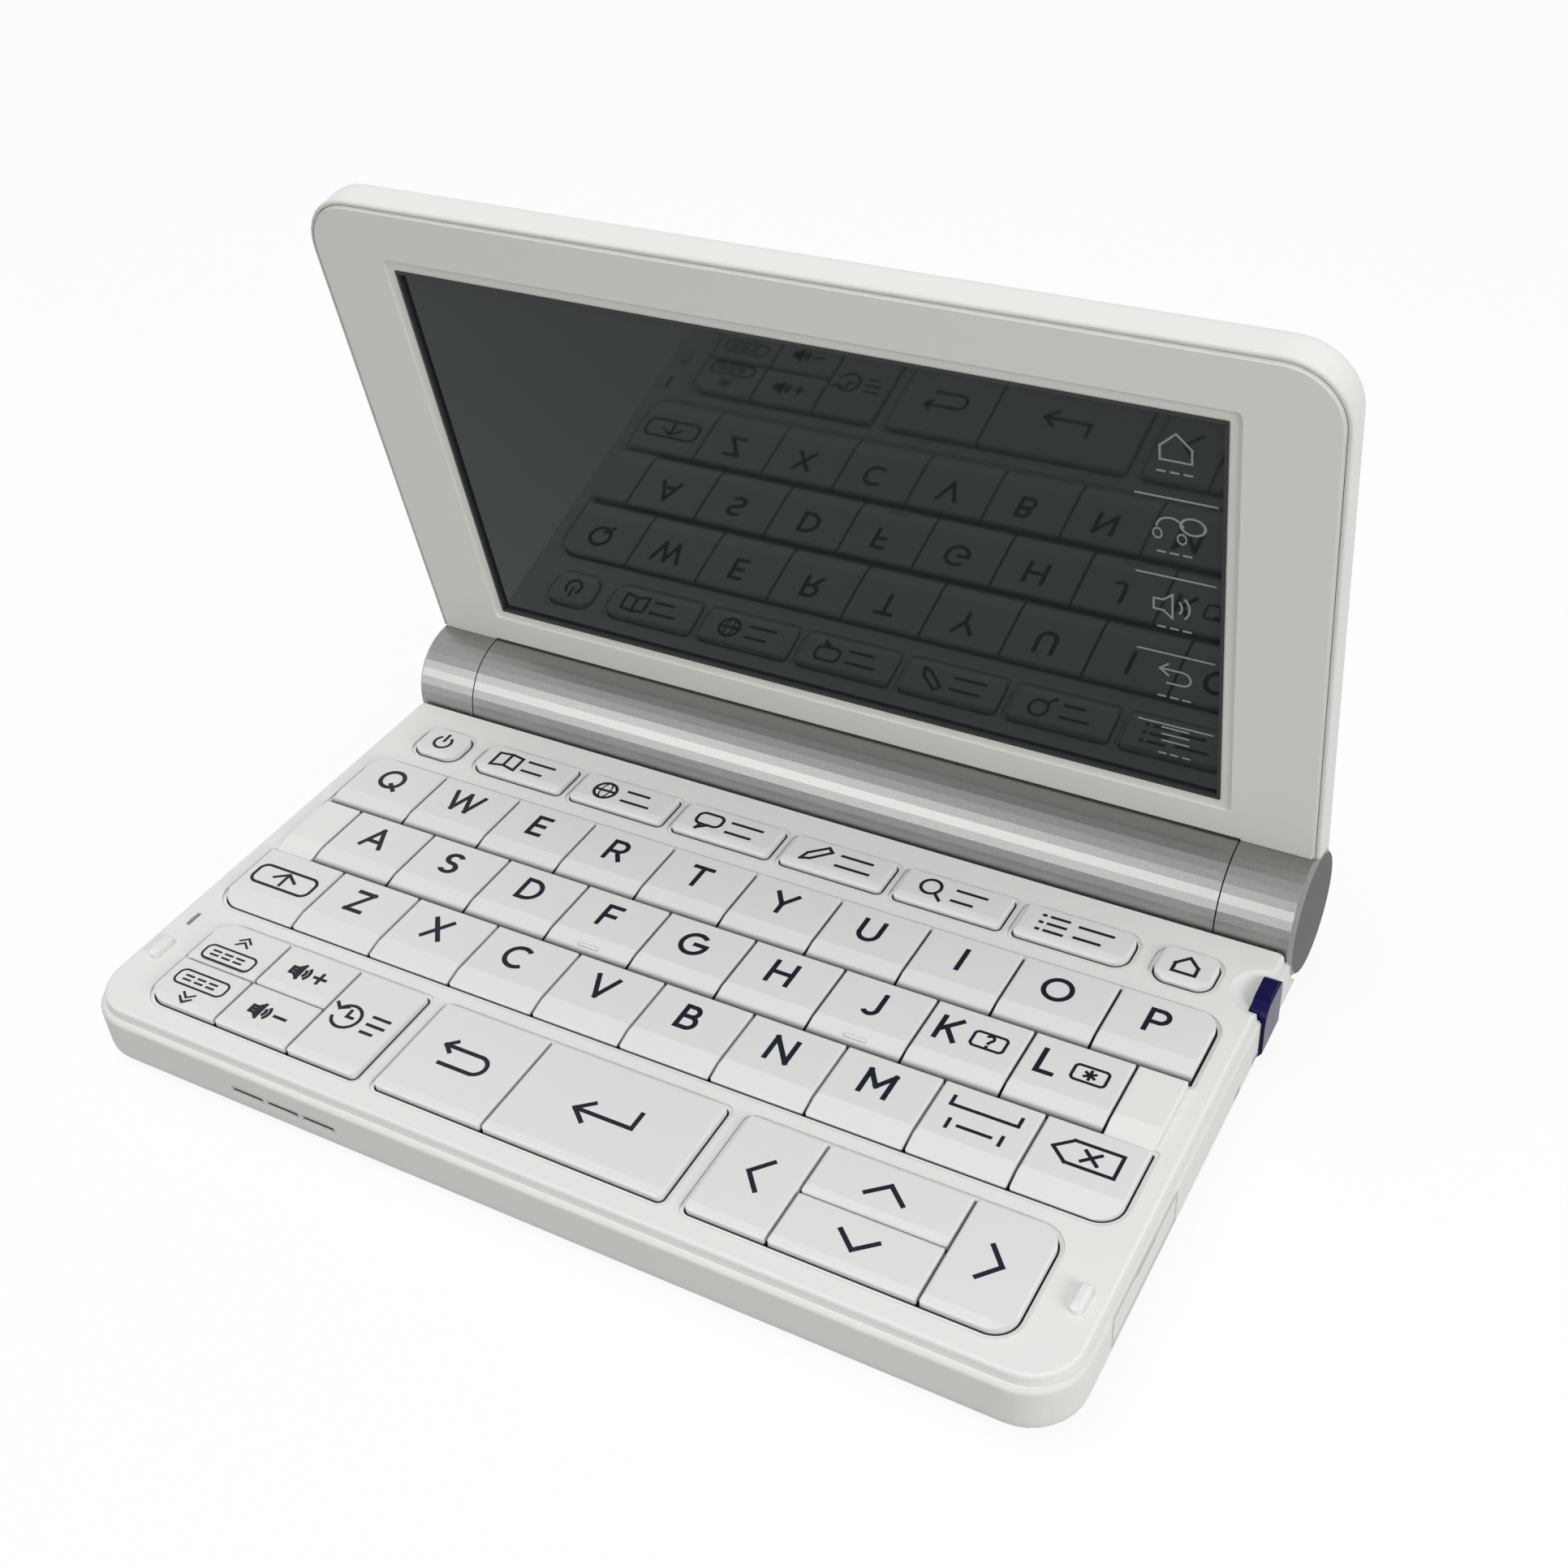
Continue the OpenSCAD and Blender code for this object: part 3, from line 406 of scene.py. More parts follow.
# %% Cell sleeve
def sleeve(name, node):
    low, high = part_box(node)
    middle = (low.x + high.x) / 2 / MM
    length = (high.x - low.x) / 2 / MM
    collar = 0.2 * length
    finish = Finish(name, IOR=1.5)
    folded = finish.node("ShaderNodeMath", {"operation": "FLOORED_MODULO"},
                         {0: finish.axis(0) - middle, 1: length})
    band = folded > length - collar
    steel = folded > length - 1.6
    printed = finish.mix(band, srgb(52, 54, 58), srgb(178, 118, 58))
    finish.feed("Base Color", finish.mix(steel, printed, srgb(190, 190, 188)))
    finish.feed("Metallic", 0.35 + 0.6 * steel)
    finish.feed("Roughness", 0.26 + 0.12 * finish.noise(5.0, detail=3.0))
    finish.bump(finish.noise(1.5, detail=2.0), 0.01)
    return finish.material


cell_sleeve = sleeve("cell_wrap", "aa_cells")
print("cells:", cell_sleeve.name)

# %% [markdown]
# Small finishes: printing ink, pale ink behind the glass, rubber, screw steel and spring
# wire. Each still has a pattern of its own, because even ink is uneven at its edges.

# %% Inks, rubber and bright metal
def ink(name, tone, gloss):
    finish = Finish(name, Specular_IOR_Level=0.25, IOR=1.45)
    thin = tuple(min(1.0, channel * 1.3 + 0.006) for channel in tone[:3]) + (1.0,)
    finish.feed("Base Color", finish.mix(finish.noise(0.7, detail=3.0), tone, thin))
    finish.feed("Roughness", gloss + 0.1 * finish.noise(1.2, detail=2.0))
    return finish.material


def bright_metal(name, tone, gloss, brush):
    finish = Finish(name, Metallic=1.0)
    dull = tuple(channel * 0.8 for channel in tone[:3]) + (1.0,)
    scratches = finish.noise(0.5, detail=3.0, stretch=brush)
    finish.feed("Base Color", finish.mix(scratches, tone, dull))
    finish.feed("Roughness", gloss + 0.15 * scratches)
    finish.bump(scratches, 0.006)
    return finish.material


legend_ink = ink("legend_ink", srgb(18, 22, 36), 0.42)
pale_ink = ink("pale_ink", srgb(132, 138, 134), 0.5)
# Dark rubber, for the rubber pads and for the frame of painted shade round the screen.
rubber_and_shade = moulded("rubber_and_shade", srgb(44, 44, 46), grain=0.4, depth=0.03, gloss=0.78)
steel = bright_metal("screw_steel", srgb(150, 150, 150), 0.3, (1, 6, 1))
nickel = bright_metal("spring_nickel", srgb(205, 202, 192), 0.2, (1, 1, 5))
print("small finishes:", legend_ink.name, pale_ink.name, rubber_and_shade.name, steel.name, nickel.name)

# %% [markdown]
# The parts of the construction model keep their shape and only get a finish. A part's
# material slots are filled, which changes nothing in its mesh. The two rear rows of letters
# slope down to the row before them, so their gap shade starts higher than that of other keys.

# %% Dress the solid parts
NODE_FINISH = {
    "bottom_case": shell_white, "keyboard_deck": deck_white, "lid_back_cover": shell_white,
    "lid_bezel": bezel_white, "hinge_barrel": silver, "hinge_knuckles": silver,
    "battery_cover": silver, "display_panel": glass_dark, "card_cover": shell_white,
    "circuit_board": board_green, "aa_cells": cell_sleeve, "stylus": navy,
}


def dress(node, material):
    part = nodes[node]
    if not part.material_slots:
        part.data.materials.append(material)
    for slot in part.material_slots:
        slot.material = material


for letter_key in "qwertyuiopasdfghjkl":
    NODE_FINISH["key_" + letter_key] = row_white
for node in nodes:
    dress(node, NODE_FINISH.get(node, key_white))
keys = [node for node in nodes if NODE_FINISH.get(node, key_white) in (key_white, row_white)]
print("dressed", len(nodes), "parts, of which", len(keys), "are keys")

# %% [markdown]
# Legends are printed on the key tops. A font would be the short way, but the real letters are
# plain geometric ones of one stroke width, and the pictograms need the same pen. So a legend
# is a list of strokes. An edge as wide as the pen is extruded along a straight bar, or spun
# round the centre of a bow. Each stroke lies a hair above the one before, so that two strokes
# that cross never share a plane.

# %% The pen
STAGGER = 0.0012


def pen_edge(work, middle, across, width):
    ends = [work.verts.new(middle + across * (width / 2)),
            work.verts.new(middle - across * (width / 2))]
    return ends, work.edges.new(ends)


def draw_bar(work, begin, end, width):
    along = (end - begin).normalized()
    across = Vector((-along.y, along.x, 0))
    begin = begin - along * (width / 2)
    end = end + along * (width / 2)
    ends, edge = pen_edge(work, begin, across, width)
    made = bmesh.ops.extrude_edge_only(work, edges=[edge])["geom"]
    moved = [item for item in made if isinstance(item, bmesh.types.BMVert)]
    bmesh.ops.translate(work, verts=moved, vec=end - begin)
    return ends + moved


def draw_bow(work, centre, radius, first, last, width, widen=1.0):
    out = Vector((math.cos(math.radians(first)), math.sin(math.radians(first)), 0))
    before = set(work.verts)
    ends, edge = pen_edge(work, centre + out * radius, out, width)
    sweep = last - first
    bmesh.ops.spin(work, geom=ends + [edge], cent=centre, axis=(0, 0, 1), dvec=(0, 0, 0),
                   angle=math.radians(sweep), steps=max(3, round(abs(sweep) / 9)),
                   use_merge=abs(sweep) == 360, use_normal_flip=False, use_duplicate=False)
    verts = [vert for vert in work.verts if vert not in before]
    bmesh.ops.scale(work, verts=verts, vec=(widen, 1, 1),
                    space=Matrix.Translation(-centre))
    return verts


def draw(work, strokes, width):
    for number, stroke in enumerate(strokes):
        if len(stroke) == 4:
            verts = draw_bar(work, Vector((*stroke[:2], 0)), Vector((*stroke[2:], 0)), width)
        else:
            widen = stroke[5] if len(stroke) == 6 else 1.0
            verts = draw_bow(work, Vector((*stroke[:2], 0)), *stroke[2:5], width, widen)
        bmesh.ops.translate(work, verts=verts, vec=(0, 0, number * STAGGER))


print("pen ready")

# %% [markdown]
# A stroke with four numbers is a bar from one point to another. One with five is a bow: its
# centre, its radius, and the angles where it starts and ends. A sixth number widens the bow.
# The letters are drawn one unit high along the middle of their strokes, so a letter of any
# size comes from the same list.

# %% The alphabet
ALPHABET = {
    "A": [(0, 0, 0.45, 1), (0.9, 0, 0.45, 1), (0.16, 0.3, 0.74, 0.3)],
    "B": [(0, 0, 0, 1), (0, 1, 0.3, 1), (0.3, 0.77, 0.23, 90, -90), (0, 0.54, 0.36, 0.54),
          (0.36, 0.27, 0.27, 90, -90), (0, 0, 0.36, 0)],
    "C": [(0.5, 0.5, 0.5, 48, 312)],
    "D": [(0, 0, 0, 1), (0, 1, 0.28, 1), (0.28, 0.5, 0.5, 90, -90), (0, 0, 0.28, 0)],
    "E": [(0, 0, 0, 1), (0, 1, 0.54, 1), (0, 0.51, 0.48, 0.51), (0, 0, 0.54, 0)],
    "F": [(0, 0, 0, 1), (0, 1, 0.54, 1), (0, 0.49, 0.47, 0.49)],
    "G": [(0.5, 0.5, 0.5, 46, 360), (0.56, 0.5, 1.0, 0.5)],
    "H": [(0, 0, 0, 1), (0.8, 0, 0.8, 1), (0, 0.5, 0.8, 0.5)],
    "I": [(0, 0, 0, 1)],
    "J": [(0.46, 1, 0.46, 0.26), (0.2, 0.26, 0.26, 0, -150)],
    "K": [(0, 0, 0, 1), (0.64, 1, 0.05, 0.4), (0.22, 0.57, 0.68, 0)],
    "L": [(0, 0, 0, 1), (0, 0, 0.54, 0)],
    "M": [(0, 0, 0, 1), (0, 1, 0.46, 0.36), (0.46, 0.36, 0.92, 1), (0.92, 0, 0.92, 1)],
    "N": [(0, 0, 0, 1), (0, 1, 0.78, 0), (0.78, 0, 0.78, 1)],
    "O": [(0.5, 0.5, 0.5, 0, 360)],
    "P": [(0, 0, 0, 1), (0, 1, 0.36, 1), (0.36, 0.71, 0.29, 90, -90), (0, 0.42, 0.36, 0.42)],
    "Q": [(0.5, 0.5, 0.5, 0, 360), (0.62, 0.22, 0.94, -0.08)],
    "R": [(0, 0, 0, 1), (0, 1, 0.36, 1), (0.36, 0.72, 0.28, 90, -90), (0, 0.44, 0.36, 0.44),
          (0.38, 0.42, 0.66, 0)],
    "S": [(0.3, 0.755, 0.245, 28, 270, 1.2), (0.3, 0.255, 0.255, 90, -152, 1.2)],
    "T": [(0, 1, 0.74, 1), (0.37, 0, 0.37, 1)],
    "U": [(0, 1, 0, 0.37), (0.37, 0.37, 0.37, 180, 360), (0.74, 0.37, 0.74, 1)],
    "V": [(0, 1, 0.42, 0), (0.84, 1, 0.42, 0)],
    "W": [(0, 1, 0.33, 0), (0.33, 0, 0.66, 1), (0.66, 1, 0.99, 0), (0.99, 0, 1.32, 1)],
    "X": [(0, 0, 0.74, 1), (0, 1, 0.74, 0)],
    "Y": [(0, 1, 0.41, 0.43), (0.82, 1, 0.41, 0.43), (0.41, 0, 0.41, 0.43)],
    "Z": [(0, 1, 0.68, 1), (0.68, 1, 0, 0), (0, 0, 0.68, 0)],
}


def scaled(strokes, size, shift):
    moved = []
    for stroke in strokes:
        if len(stroke) == 4:
            moved.append((stroke[0] * size + shift[0], stroke[1] * size + shift[1],
                          stroke[2] * size + shift[0], stroke[3] * size + shift[1]))
        else:
            moved.append((stroke[0] * size + shift[0], stroke[1] * size + shift[1],
                          stroke[2] * size) + tuple(stroke[3:]))
    return moved


def shifted(strokes, x, y):
    return scaled(strokes, 1, (x, y))


def letter(character, height, shift):
    strokes = ALPHABET[character]
    left = min(s[0] if len(s) == 4 else s[0] - s[2] for s in strokes)
    right = max(max(s[0], s[2]) if len(s) == 4 else s[0] + s[2] for s in strokes)
    middle = (left + right) / 2
    return scaled(strokes, height, (shift[0] - middle * height, shift[1] - height / 2))


print("letters:", "".join(sorted(ALPHABET)))

# %% [markdown]
# The other keys get pictograms: a framed arrow for shift, a bracket for space, a cross in a
# pointed box for delete, a clock, a return arrow, and a book, a globe and the like on the top
# row. A shape that is used more than once, or has many strokes, is a short function here. It
# gives its strokes in millimetres round its own middle.

# %% Pictograms
def rounded_frame(width, height, radius, y=0.0):
    a, b = width / 2, height / 2
    strokes = [(radius - a, y + b, a - radius, y + b), (radius - a, y - b, a - radius, y - b),
               (-a, y - b + radius, -a, y + b - radius), (a, y - b + radius, a, y + b - radius)]
    for side_x, side_y, first in ((1, 1, 0), (-1, 1, 90), (-1, -1, 180), (1, -1, 270)):
        strokes.append((side_x * (a - radius), y + side_y * (b - radius), radius,
                        first, first + 90))
    return strokes


def path(*points, closed=False):
    ends = list(points) + ([points[0]] if closed else [])
    return [(*first, *second) for first, second in zip(ends, ends[1:])]


def chevron(width, height, y=0.0, turns=0):
    points = []
    for across, up in ((-width / 2, -height / 2), (0, height / 2), (width / 2, -height / 2)):
        for _ in range(turns):
            across, up = -up, across
        points.append((across, y + up))
    return path(*points)


def house(width, height):
    a, b = width / 2, height / 2
    return path((-a, 0), (0, b), (a, 0), (a, -b), (-a, -b), closed=True)


def speaker(size, x, solid=False):
    a = size / 2
    strokes = path((x - a, -a * 0.35), (x - a * 0.5, -a * 0.35), (x, -a * 0.8), (x, a * 0.8),
                   (x - a * 0.5, a * 0.35), (x - a, a * 0.35), closed=True)
    if solid:
        strokes += [(x - a, 0, x, 0), (x - a * 0.25, -a * 0.3, x - a * 0.25, a * 0.3)]
    return strokes + [(x - a * 0.1, 0, a * wave, -42, 42) for wave in (0.6, 1.0)]


def text_lines(lengths, spacing, x):
    top = spacing * (len(lengths) - 1) / 2
    return [(x, top - row * spacing, x + length, top - row * spacing)
            for row, length in enumerate(lengths)]


def clock(radius, x):
    return [(x, 0, radius, 150, -165), (x, 0, x, radius * 0.55), (x, 0, x + radius * 0.45, 0),
            (x - radius * 0.9, radius * 0.45, x - radius * 1.35, radius * 0.85),
            (x - radius * 0.9, radius * 0.45, x - radius * 0.4, radius * 0.75)]


def return_arrow(width, height):
    r = height / 2
    left, right = -width / 2, width / 2 - r
    return [(left, r, right, r), (right, 0, r, 90, -90), (left + 1.0, -r, right, -r),
            (left, r, left + 1.1, r + 1.0), (left, r, left + 1.1, r - 1.0)]


def open_book(width, height):
    a, b = width / 2, height / 2
    return (path((0, -b * 0.7), (-a, -b), (-a, b * 0.8), (0, b))
            + path((0, b), (a, b * 0.8), (a, -b), (0, -b * 0.7)) + [(0, -b * 0.7, 0, b)])


def globe(radius):
    return [(0, 0, radius, 0, 360), (0, 0, radius, 0, 360, 0.42), (-radius, 0, radius, 0)]


print("pictograms ready")

# %% [markdown]
# What each key shows. The six wide keys at the back get a pictogram with two short lines
# beside it, so that they carry about as much print as on the real object.

# %% Legends for the keys that hold no letter
small_frame = rounded_frame(8.8, 2.7, 1.0)
heading = [(x, y, x + 1.2, y) for x in (-3.0, -0.9, 1.2) for y in (-0.4, 0.4)]
double_up = chevron(2.0, 0.8, 0.45) + chevron(2.0, 0.8, -0.45)
double_down = chevron(2.0, 0.8, 0.45, turns=2) + chevron(2.0, 0.8, -0.45, turns=2)


def beside(icon, lengths):
    return shifted(icon, -3.4, 0) + text_lines(lengths, 2.3, 0.2)


PICTOGRAMS = {
    "shift_key": rounded_frame(10.6, 3.9, 1.3, -0.9)
    + path((-1.9, -0.9), (0, 0.4), (1.9, -0.9)) + [(0, -2.1, 0, 0.2)],
    "space_key": path((-4.6, 2.3), (-4.6, 0.9), (4.6, 0.9), (4.6, 2.3))
    + [(-2.2, -2.2, 2.2, -2.2), (-3.6, -2.9, -3.6, -1.5), (3.6, -2.9, 3.6, -1.5)],
    "delete_key": path((-4.4, 0), (-2.2, 1.9), (4.2, 1.9), (4.2, -1.9), (-2.2, -1.9), closed=True)
    + [(-0.4, -0.9, 1.6, 0.9), (-0.4, 0.9, 1.6, -0.9)],
    "previous_key": shifted(double_up, 0, 1.4) + shifted(small_frame + heading, 0, -2.1),
    "next_key": shifted(double_down, 0, -2.5) + shifted(small_frame + heading, 0, 0.8),
    "volume_up_key": speaker(3.2, -1.3, solid=True) + [(1.2, 0, 3.0, 0), (2.1, -0.9, 2.1, 0.9)],
    "volume_down_key": speaker(3.2, -1.3, solid=True) + [(1.2, 0, 3.0, 0)],
    "history_key": clock(2.1, -2.0) + text_lines((2.6, 2.6, 1.7), 1.5, 1.6),
    "back_key": return_arrow(7.4, 3.2),
    "enter_key": path((4.3, 2.2), (4.3, -0.5), (-4.1, -0.5)) + path((-2.2, 1.2), (-4.2, -0.5),
                                                                    (-2.2, -2.2)),
    "left_key": chevron(5.0, 2.2, turns=1),
    "right_key": chevron(5.0, 2.2, turns=3),
    "up_key": chevron(5.0, 2.2),
    "down_key": chevron(5.0, 2.2, turns=2),
    "power_key": [(0, -0.15, 1.45, 125, 415), (0, 0.2, 0, 1.75)],
    "home_key": house(3.2, 3.2),
    "function_key_1": beside(open_book(4.4, 3.4), (4.6, 3.4)),
    "function_key_2": beside(globe(1.8), (3.6, 4.6)),
    "function_key_3": beside(rounded_frame(4.2, 2.6, 1.0, 0.4)
                             + path((-0.9, -0.9), (-1.2, -2.0), (0.3, -0.9)), (5.0, 4.0)),
    "function_key_4": beside(path((-2.0, -1.7), (-1.5, -0.2), (1.0, 2.0), (1.9, 1.2),
                                  (-0.6, -1.2), closed=True), (4.8, 5.2)),
    "function_key_5": beside([(-0.3, 0.4, 1.5, 0, 360), (0.8, -0.8, 1.9, -1.9)], (4.4, 3.0)),
    "function_key_6": beside([(-1.9, row, -1.7, row) for row in (1.5, 0, -1.5)]
                             + [(-0.7, row, 1.8, row) for row in (1.5, 0, -1.5)], (4.8, 3.6)),
}
WIDE_PEN = 0.64
THIN_PEN = 0.34
BOX_PEN = 0.42
PENS = {node: WIDE_PEN for node in ("left_key", "right_key", "up_key", "down_key", "back_key",
                                    "enter_key")}
PENS.update({node: THIN_PEN for node in ("previous_key", "next_key")})
question = [(0, 0.55, 0.5, 165, -60), (0.25, 0.1, 0.0, -0.35), (0, -1.0, 0, -0.98)]
star = [(0.75 * math.cos(turn), 0.75 * math.sin(turn), -0.75 * math.cos(turn),
         -0.75 * math.sin(turn)) for turn in (math.pi / 2, math.pi / 6, -math.pi / 6)]
print("pictograms on", len(PICTOGRAMS), "keys")

# %% [markdown]
# Every added piece ends in the same way: its mesh gets normals that point outward, a material
# and the body it rides on.

# %% Finish a piece
def finish_piece(name, work, material, body, smooth=False):
    bmesh.ops.recalc_face_normals(work, faces=work.faces[:])
    mesh = bpy.data.meshes.new(name)
    work.to_mesh(mesh)
    work.free()
    mesh.materials.append(material)
    for polygon in mesh.polygons:
        polygon.use_smooth = smooth
    piece = bpy.data.objects.new(name, mesh)
    scene.collection.objects.link(piece)
    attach(piece, body)
    return piece


print("pieces are finished in one place")

# %% [markdown]
# A legend is drawn flat, thickened into a film of ink, and then set on its key. The key's own
# box gives the middle and the height of the top. Letter keys slope down at the front, so
# their legends sit in the middle of the flat part behind the slope. K and L also carry a small
# box with a question mark or a star.

# %% Print the legends
INK_FILM = 0.05
INK_PROUD = 0.025
LETTER_HEIGHT = 3.85
LETTER_PEN = 0.72
ICON_PEN = 0.5
FRONT_SLOPE = 3.4
LEGEND_LEFT = 0.45


def film(name, layers, place, material, body):
    work = bmesh.new()
    for strokes, width in layers:
        draw(work, strokes, width)
    work.normal_update()
    for face in work.faces:
        if face.normal.z < 0:
            face.normal_flip()
    bmesh.ops.solidify(work, geom=work.faces[:], thickness=INK_FILM)
    bmesh.ops.translate(work, verts=work.verts[:], vec=(0, 0, INK_PROUD))
    bmesh.ops.transform(work, matrix=place, verts=work.verts[:])
    return finish_piece(name, work, material, body)


def key_place(node, sloped):
    low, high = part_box(node)
    front = low.y + (FRONT_SLOPE * MM if sloped else 0)
    middle = Vector(((low.x + high.x) / 2, (front + high.y) / 2, high.z))
    return Matrix.Translation(middle) @ Matrix.Scale(MM, 4)


SLOPED = {"shift_key", "space_key", "delete_key"}
small_box = rounded_frame(4.6, 2.7, 0.6)
BOXED = {"K": small_box + question, "L": small_box + star}
BOXED_LETTER = (-3.4, 0)
BOX_PLACE = (2.3, 0)
for node in keys:
    character = node[-1].upper() if node.startswith("key_") else ""
    if character in BOXED:
        layers = [(letter(character, LETTER_HEIGHT, BOXED_LETTER), LETTER_PEN),
                  (shifted(BOXED[character], *BOX_PLACE), BOX_PEN)]
    elif character:
        layers = [(letter(character, LETTER_HEIGHT, (-LEGEND_LEFT, 0)), LETTER_PEN)]
    else:
        layers = [(PICTOGRAMS[node], PENS.get(node, ICON_PEN))]
    place = key_place(node, bool(character) or node in SLOPED)
    film("legend_" + node, layers, place, legend_ink, nodes[node]["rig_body"])
print("legends:", len(keys))

# %% [markdown]
# The right end of the screen is a strip of five soft keys, printed in pale ink behind the
# glass. The lid leans, so a small frame of its own is built first: X to the right, Y up the
# lid from the hinge axis, Z out of the screen. The hinge joint gives the axis, and its lower
# limit is the closed lid, so it also gives the angle at which the lid now stands.

# %% The lid's own axes
hinge = next(joint for joint in frame["joints"] if joint["name"] == "lid_hinge")
OPEN_ANGLE = math.radians(-hinge["range_deg"][0])
HINGE_Y = hinge["pos_m"][1] / MM
HINGE_Z = hinge["pos_m"][2] / MM
DISPLAY_FACE = 2.0


def lid_place(x, up, behind):
    across = Vector((1, 0, 0))
    upward = Vector((0, -math.cos(OPEN_ANGLE), math.sin(OPEN_ANGLE)))
    outward = across.cross(upward)
    axis = Vector((0, HINGE_Y, HINGE_Z)) * MM
    spot = axis + (across * x + upward * up - outward * behind) * MM
    turn = Matrix((across, upward, outward)).transposed().to_4x4()
    return Matrix.Translation(spot) @ turn @ Matrix.Scale(MM, 4)


print("lid open by", round(math.degrees(OPEN_ANGLE), 1), "degrees")

# %% [markdown]
# The soft keys are drawn with the same pen as the legends, each with three short marks under
# it, and thin rules part them.

# %% Soft keys on the screen
headphones = [(-0.7, 0, 1.8, 20, 175), (-2.35, -0.9, 0.75, 0, 360, 0.75),
              (0.8, -1.2, 0.75, 0, 360, 0.75), (2.2, 1.0, 1.25, 0, 360, 1.25)]
SOFT_X = 53.3
SOFT_PEN = 0.28
LABEL_DROP = 3.7
LABEL_MARKS = (-2.3, -0.6, 1.1)
MARK_LENGTH = 0.9
RULE_ENDS = (48.2, 58.5)
RULE_HEIGHTS = (65.8, 53.4, 40.4, 27.5)
SOFT_ICONS = [(house(4.0, 4.0), 73.4), (headphones, 61.0), (speaker(5.0, -0.4), 48.6),
              (return_arrow(4.2, 2.4), 36.4), (text_lines((3.6, 3.6, 3.6), 1.25, -1.8), 25.6)]
strip = []
for strokes, up in SOFT_ICONS:
    strip += shifted(strokes, 0, up)
    strip += [(x, up - LABEL_DROP, x + MARK_LENGTH, up - LABEL_DROP) for x in LABEL_MARKS]
strip += [(RULE_ENDS[0] - SOFT_X, up, RULE_ENDS[1] - SOFT_X, up) for up in RULE_HEIGHTS]
film("soft_keys", [(strip, SOFT_PEN)], lid_place(SOFT_X, 0, DISPLAY_FACE), pale_ink, "lid")
print("soft keys:", len(SOFT_ICONS))

# %% [markdown]
# A thin black frame fills the joint between the bezel and the glass. It is painted shade: it
# shows as a dark line round the screen, where the walls of the opening lie in shade. It is a
# plain frame, so four bars make it: two of full height at the sides, and two between them.

# %% Display shade frame (painted shade)
# Size of the dark frame of painted shade round the screen.
SHADE_FRAME_WIDTH = 0.45
SHADE_FRAME_HEIGHT = 0.7
SHADE_FRAME_RISE = 0.3
OPENING_HALF = 59.85
OPENING_LOW = 16.2
OPENING_HIGH = 78.9
opening_mid = (OPENING_LOW + OPENING_HIGH) / 2
opening_tall = OPENING_HIGH - OPENING_LOW
side_x = OPENING_HALF - SHADE_FRAME_WIDTH / 2
bars = [(x, opening_mid, SHADE_FRAME_WIDTH, opening_tall) for x in (-side_x, side_x)]
bars += [(0, up, 2 * OPENING_HALF - 2 * SHADE_FRAME_WIDTH, SHADE_FRAME_WIDTH)
         for up in (OPENING_LOW + SHADE_FRAME_WIDTH / 2, OPENING_HIGH - SHADE_FRAME_WIDTH / 2)]
work = bmesh.new()
for x, up, wide, tall in bars:
    sides = Matrix.Diagonal((wide, tall, SHADE_FRAME_HEIGHT, 1))
    place = lid_place(x, up, DISPLAY_FACE - SHADE_FRAME_RISE)
    bmesh.ops.create_cube(work, size=1.0, matrix=place @ sides)
# The frame of painted shade takes the dark rubber finish.
finish_piece("display_shade_frame", work, rubber_and_shade, "lid")

# %% [markdown]
# Four rubber pads keep the case from sliding. Each is a shallow cup pressed over a moulded
# foot: a cylinder with a softened rim.

# %% Rubber pads
def round_bar(work, radius, low, high, x, y, bevel, segments=40):
    made = bmesh.ops.create_cone(work, cap_ends=True, segments=segments, radius1=radius,
                                 radius2=radius, depth=high - low,
                                 matrix=Matrix.Translation((x, y, (low + high) / 2)))
    rims = [edge for edge in work.edges
            if all(vert in made["verts"] for vert in edge.verts) and edge.verts[0].co.z
            == edge.verts[1].co.z]
    bmesh.ops.bevel(work, geom=rims, offset=bevel, offset_type="OFFSET", affect="EDGES",
                    segments=3, profile=0.5, material=-1)


PAD_RADIUS = 3.75
PAD_RIM = 0.15
PAD_UNDER, PAD_TOP = -0.03, 0.5
PAD_SPOTS = [(side * 60.0, y) for side in (-1, 1) for y in (-38.1, 12.5)]
work = bmesh.new()
for x, y in PAD_SPOTS:
    round_bar(work, PAD_RADIUS, PAD_UNDER, PAD_TOP, x, y, PAD_RIM)
bmesh.ops.scale(work, vec=(MM, MM, MM), verts=work.verts[:])
finish_piece("rubber_pads", work, rubber_and_shade, "base")

# %% [markdown]
# Five screws close the case from below. A screw head is a disc with a cross-shaped recess:
# the disc is cut by four planes, and the faces inside the cross are pushed in.

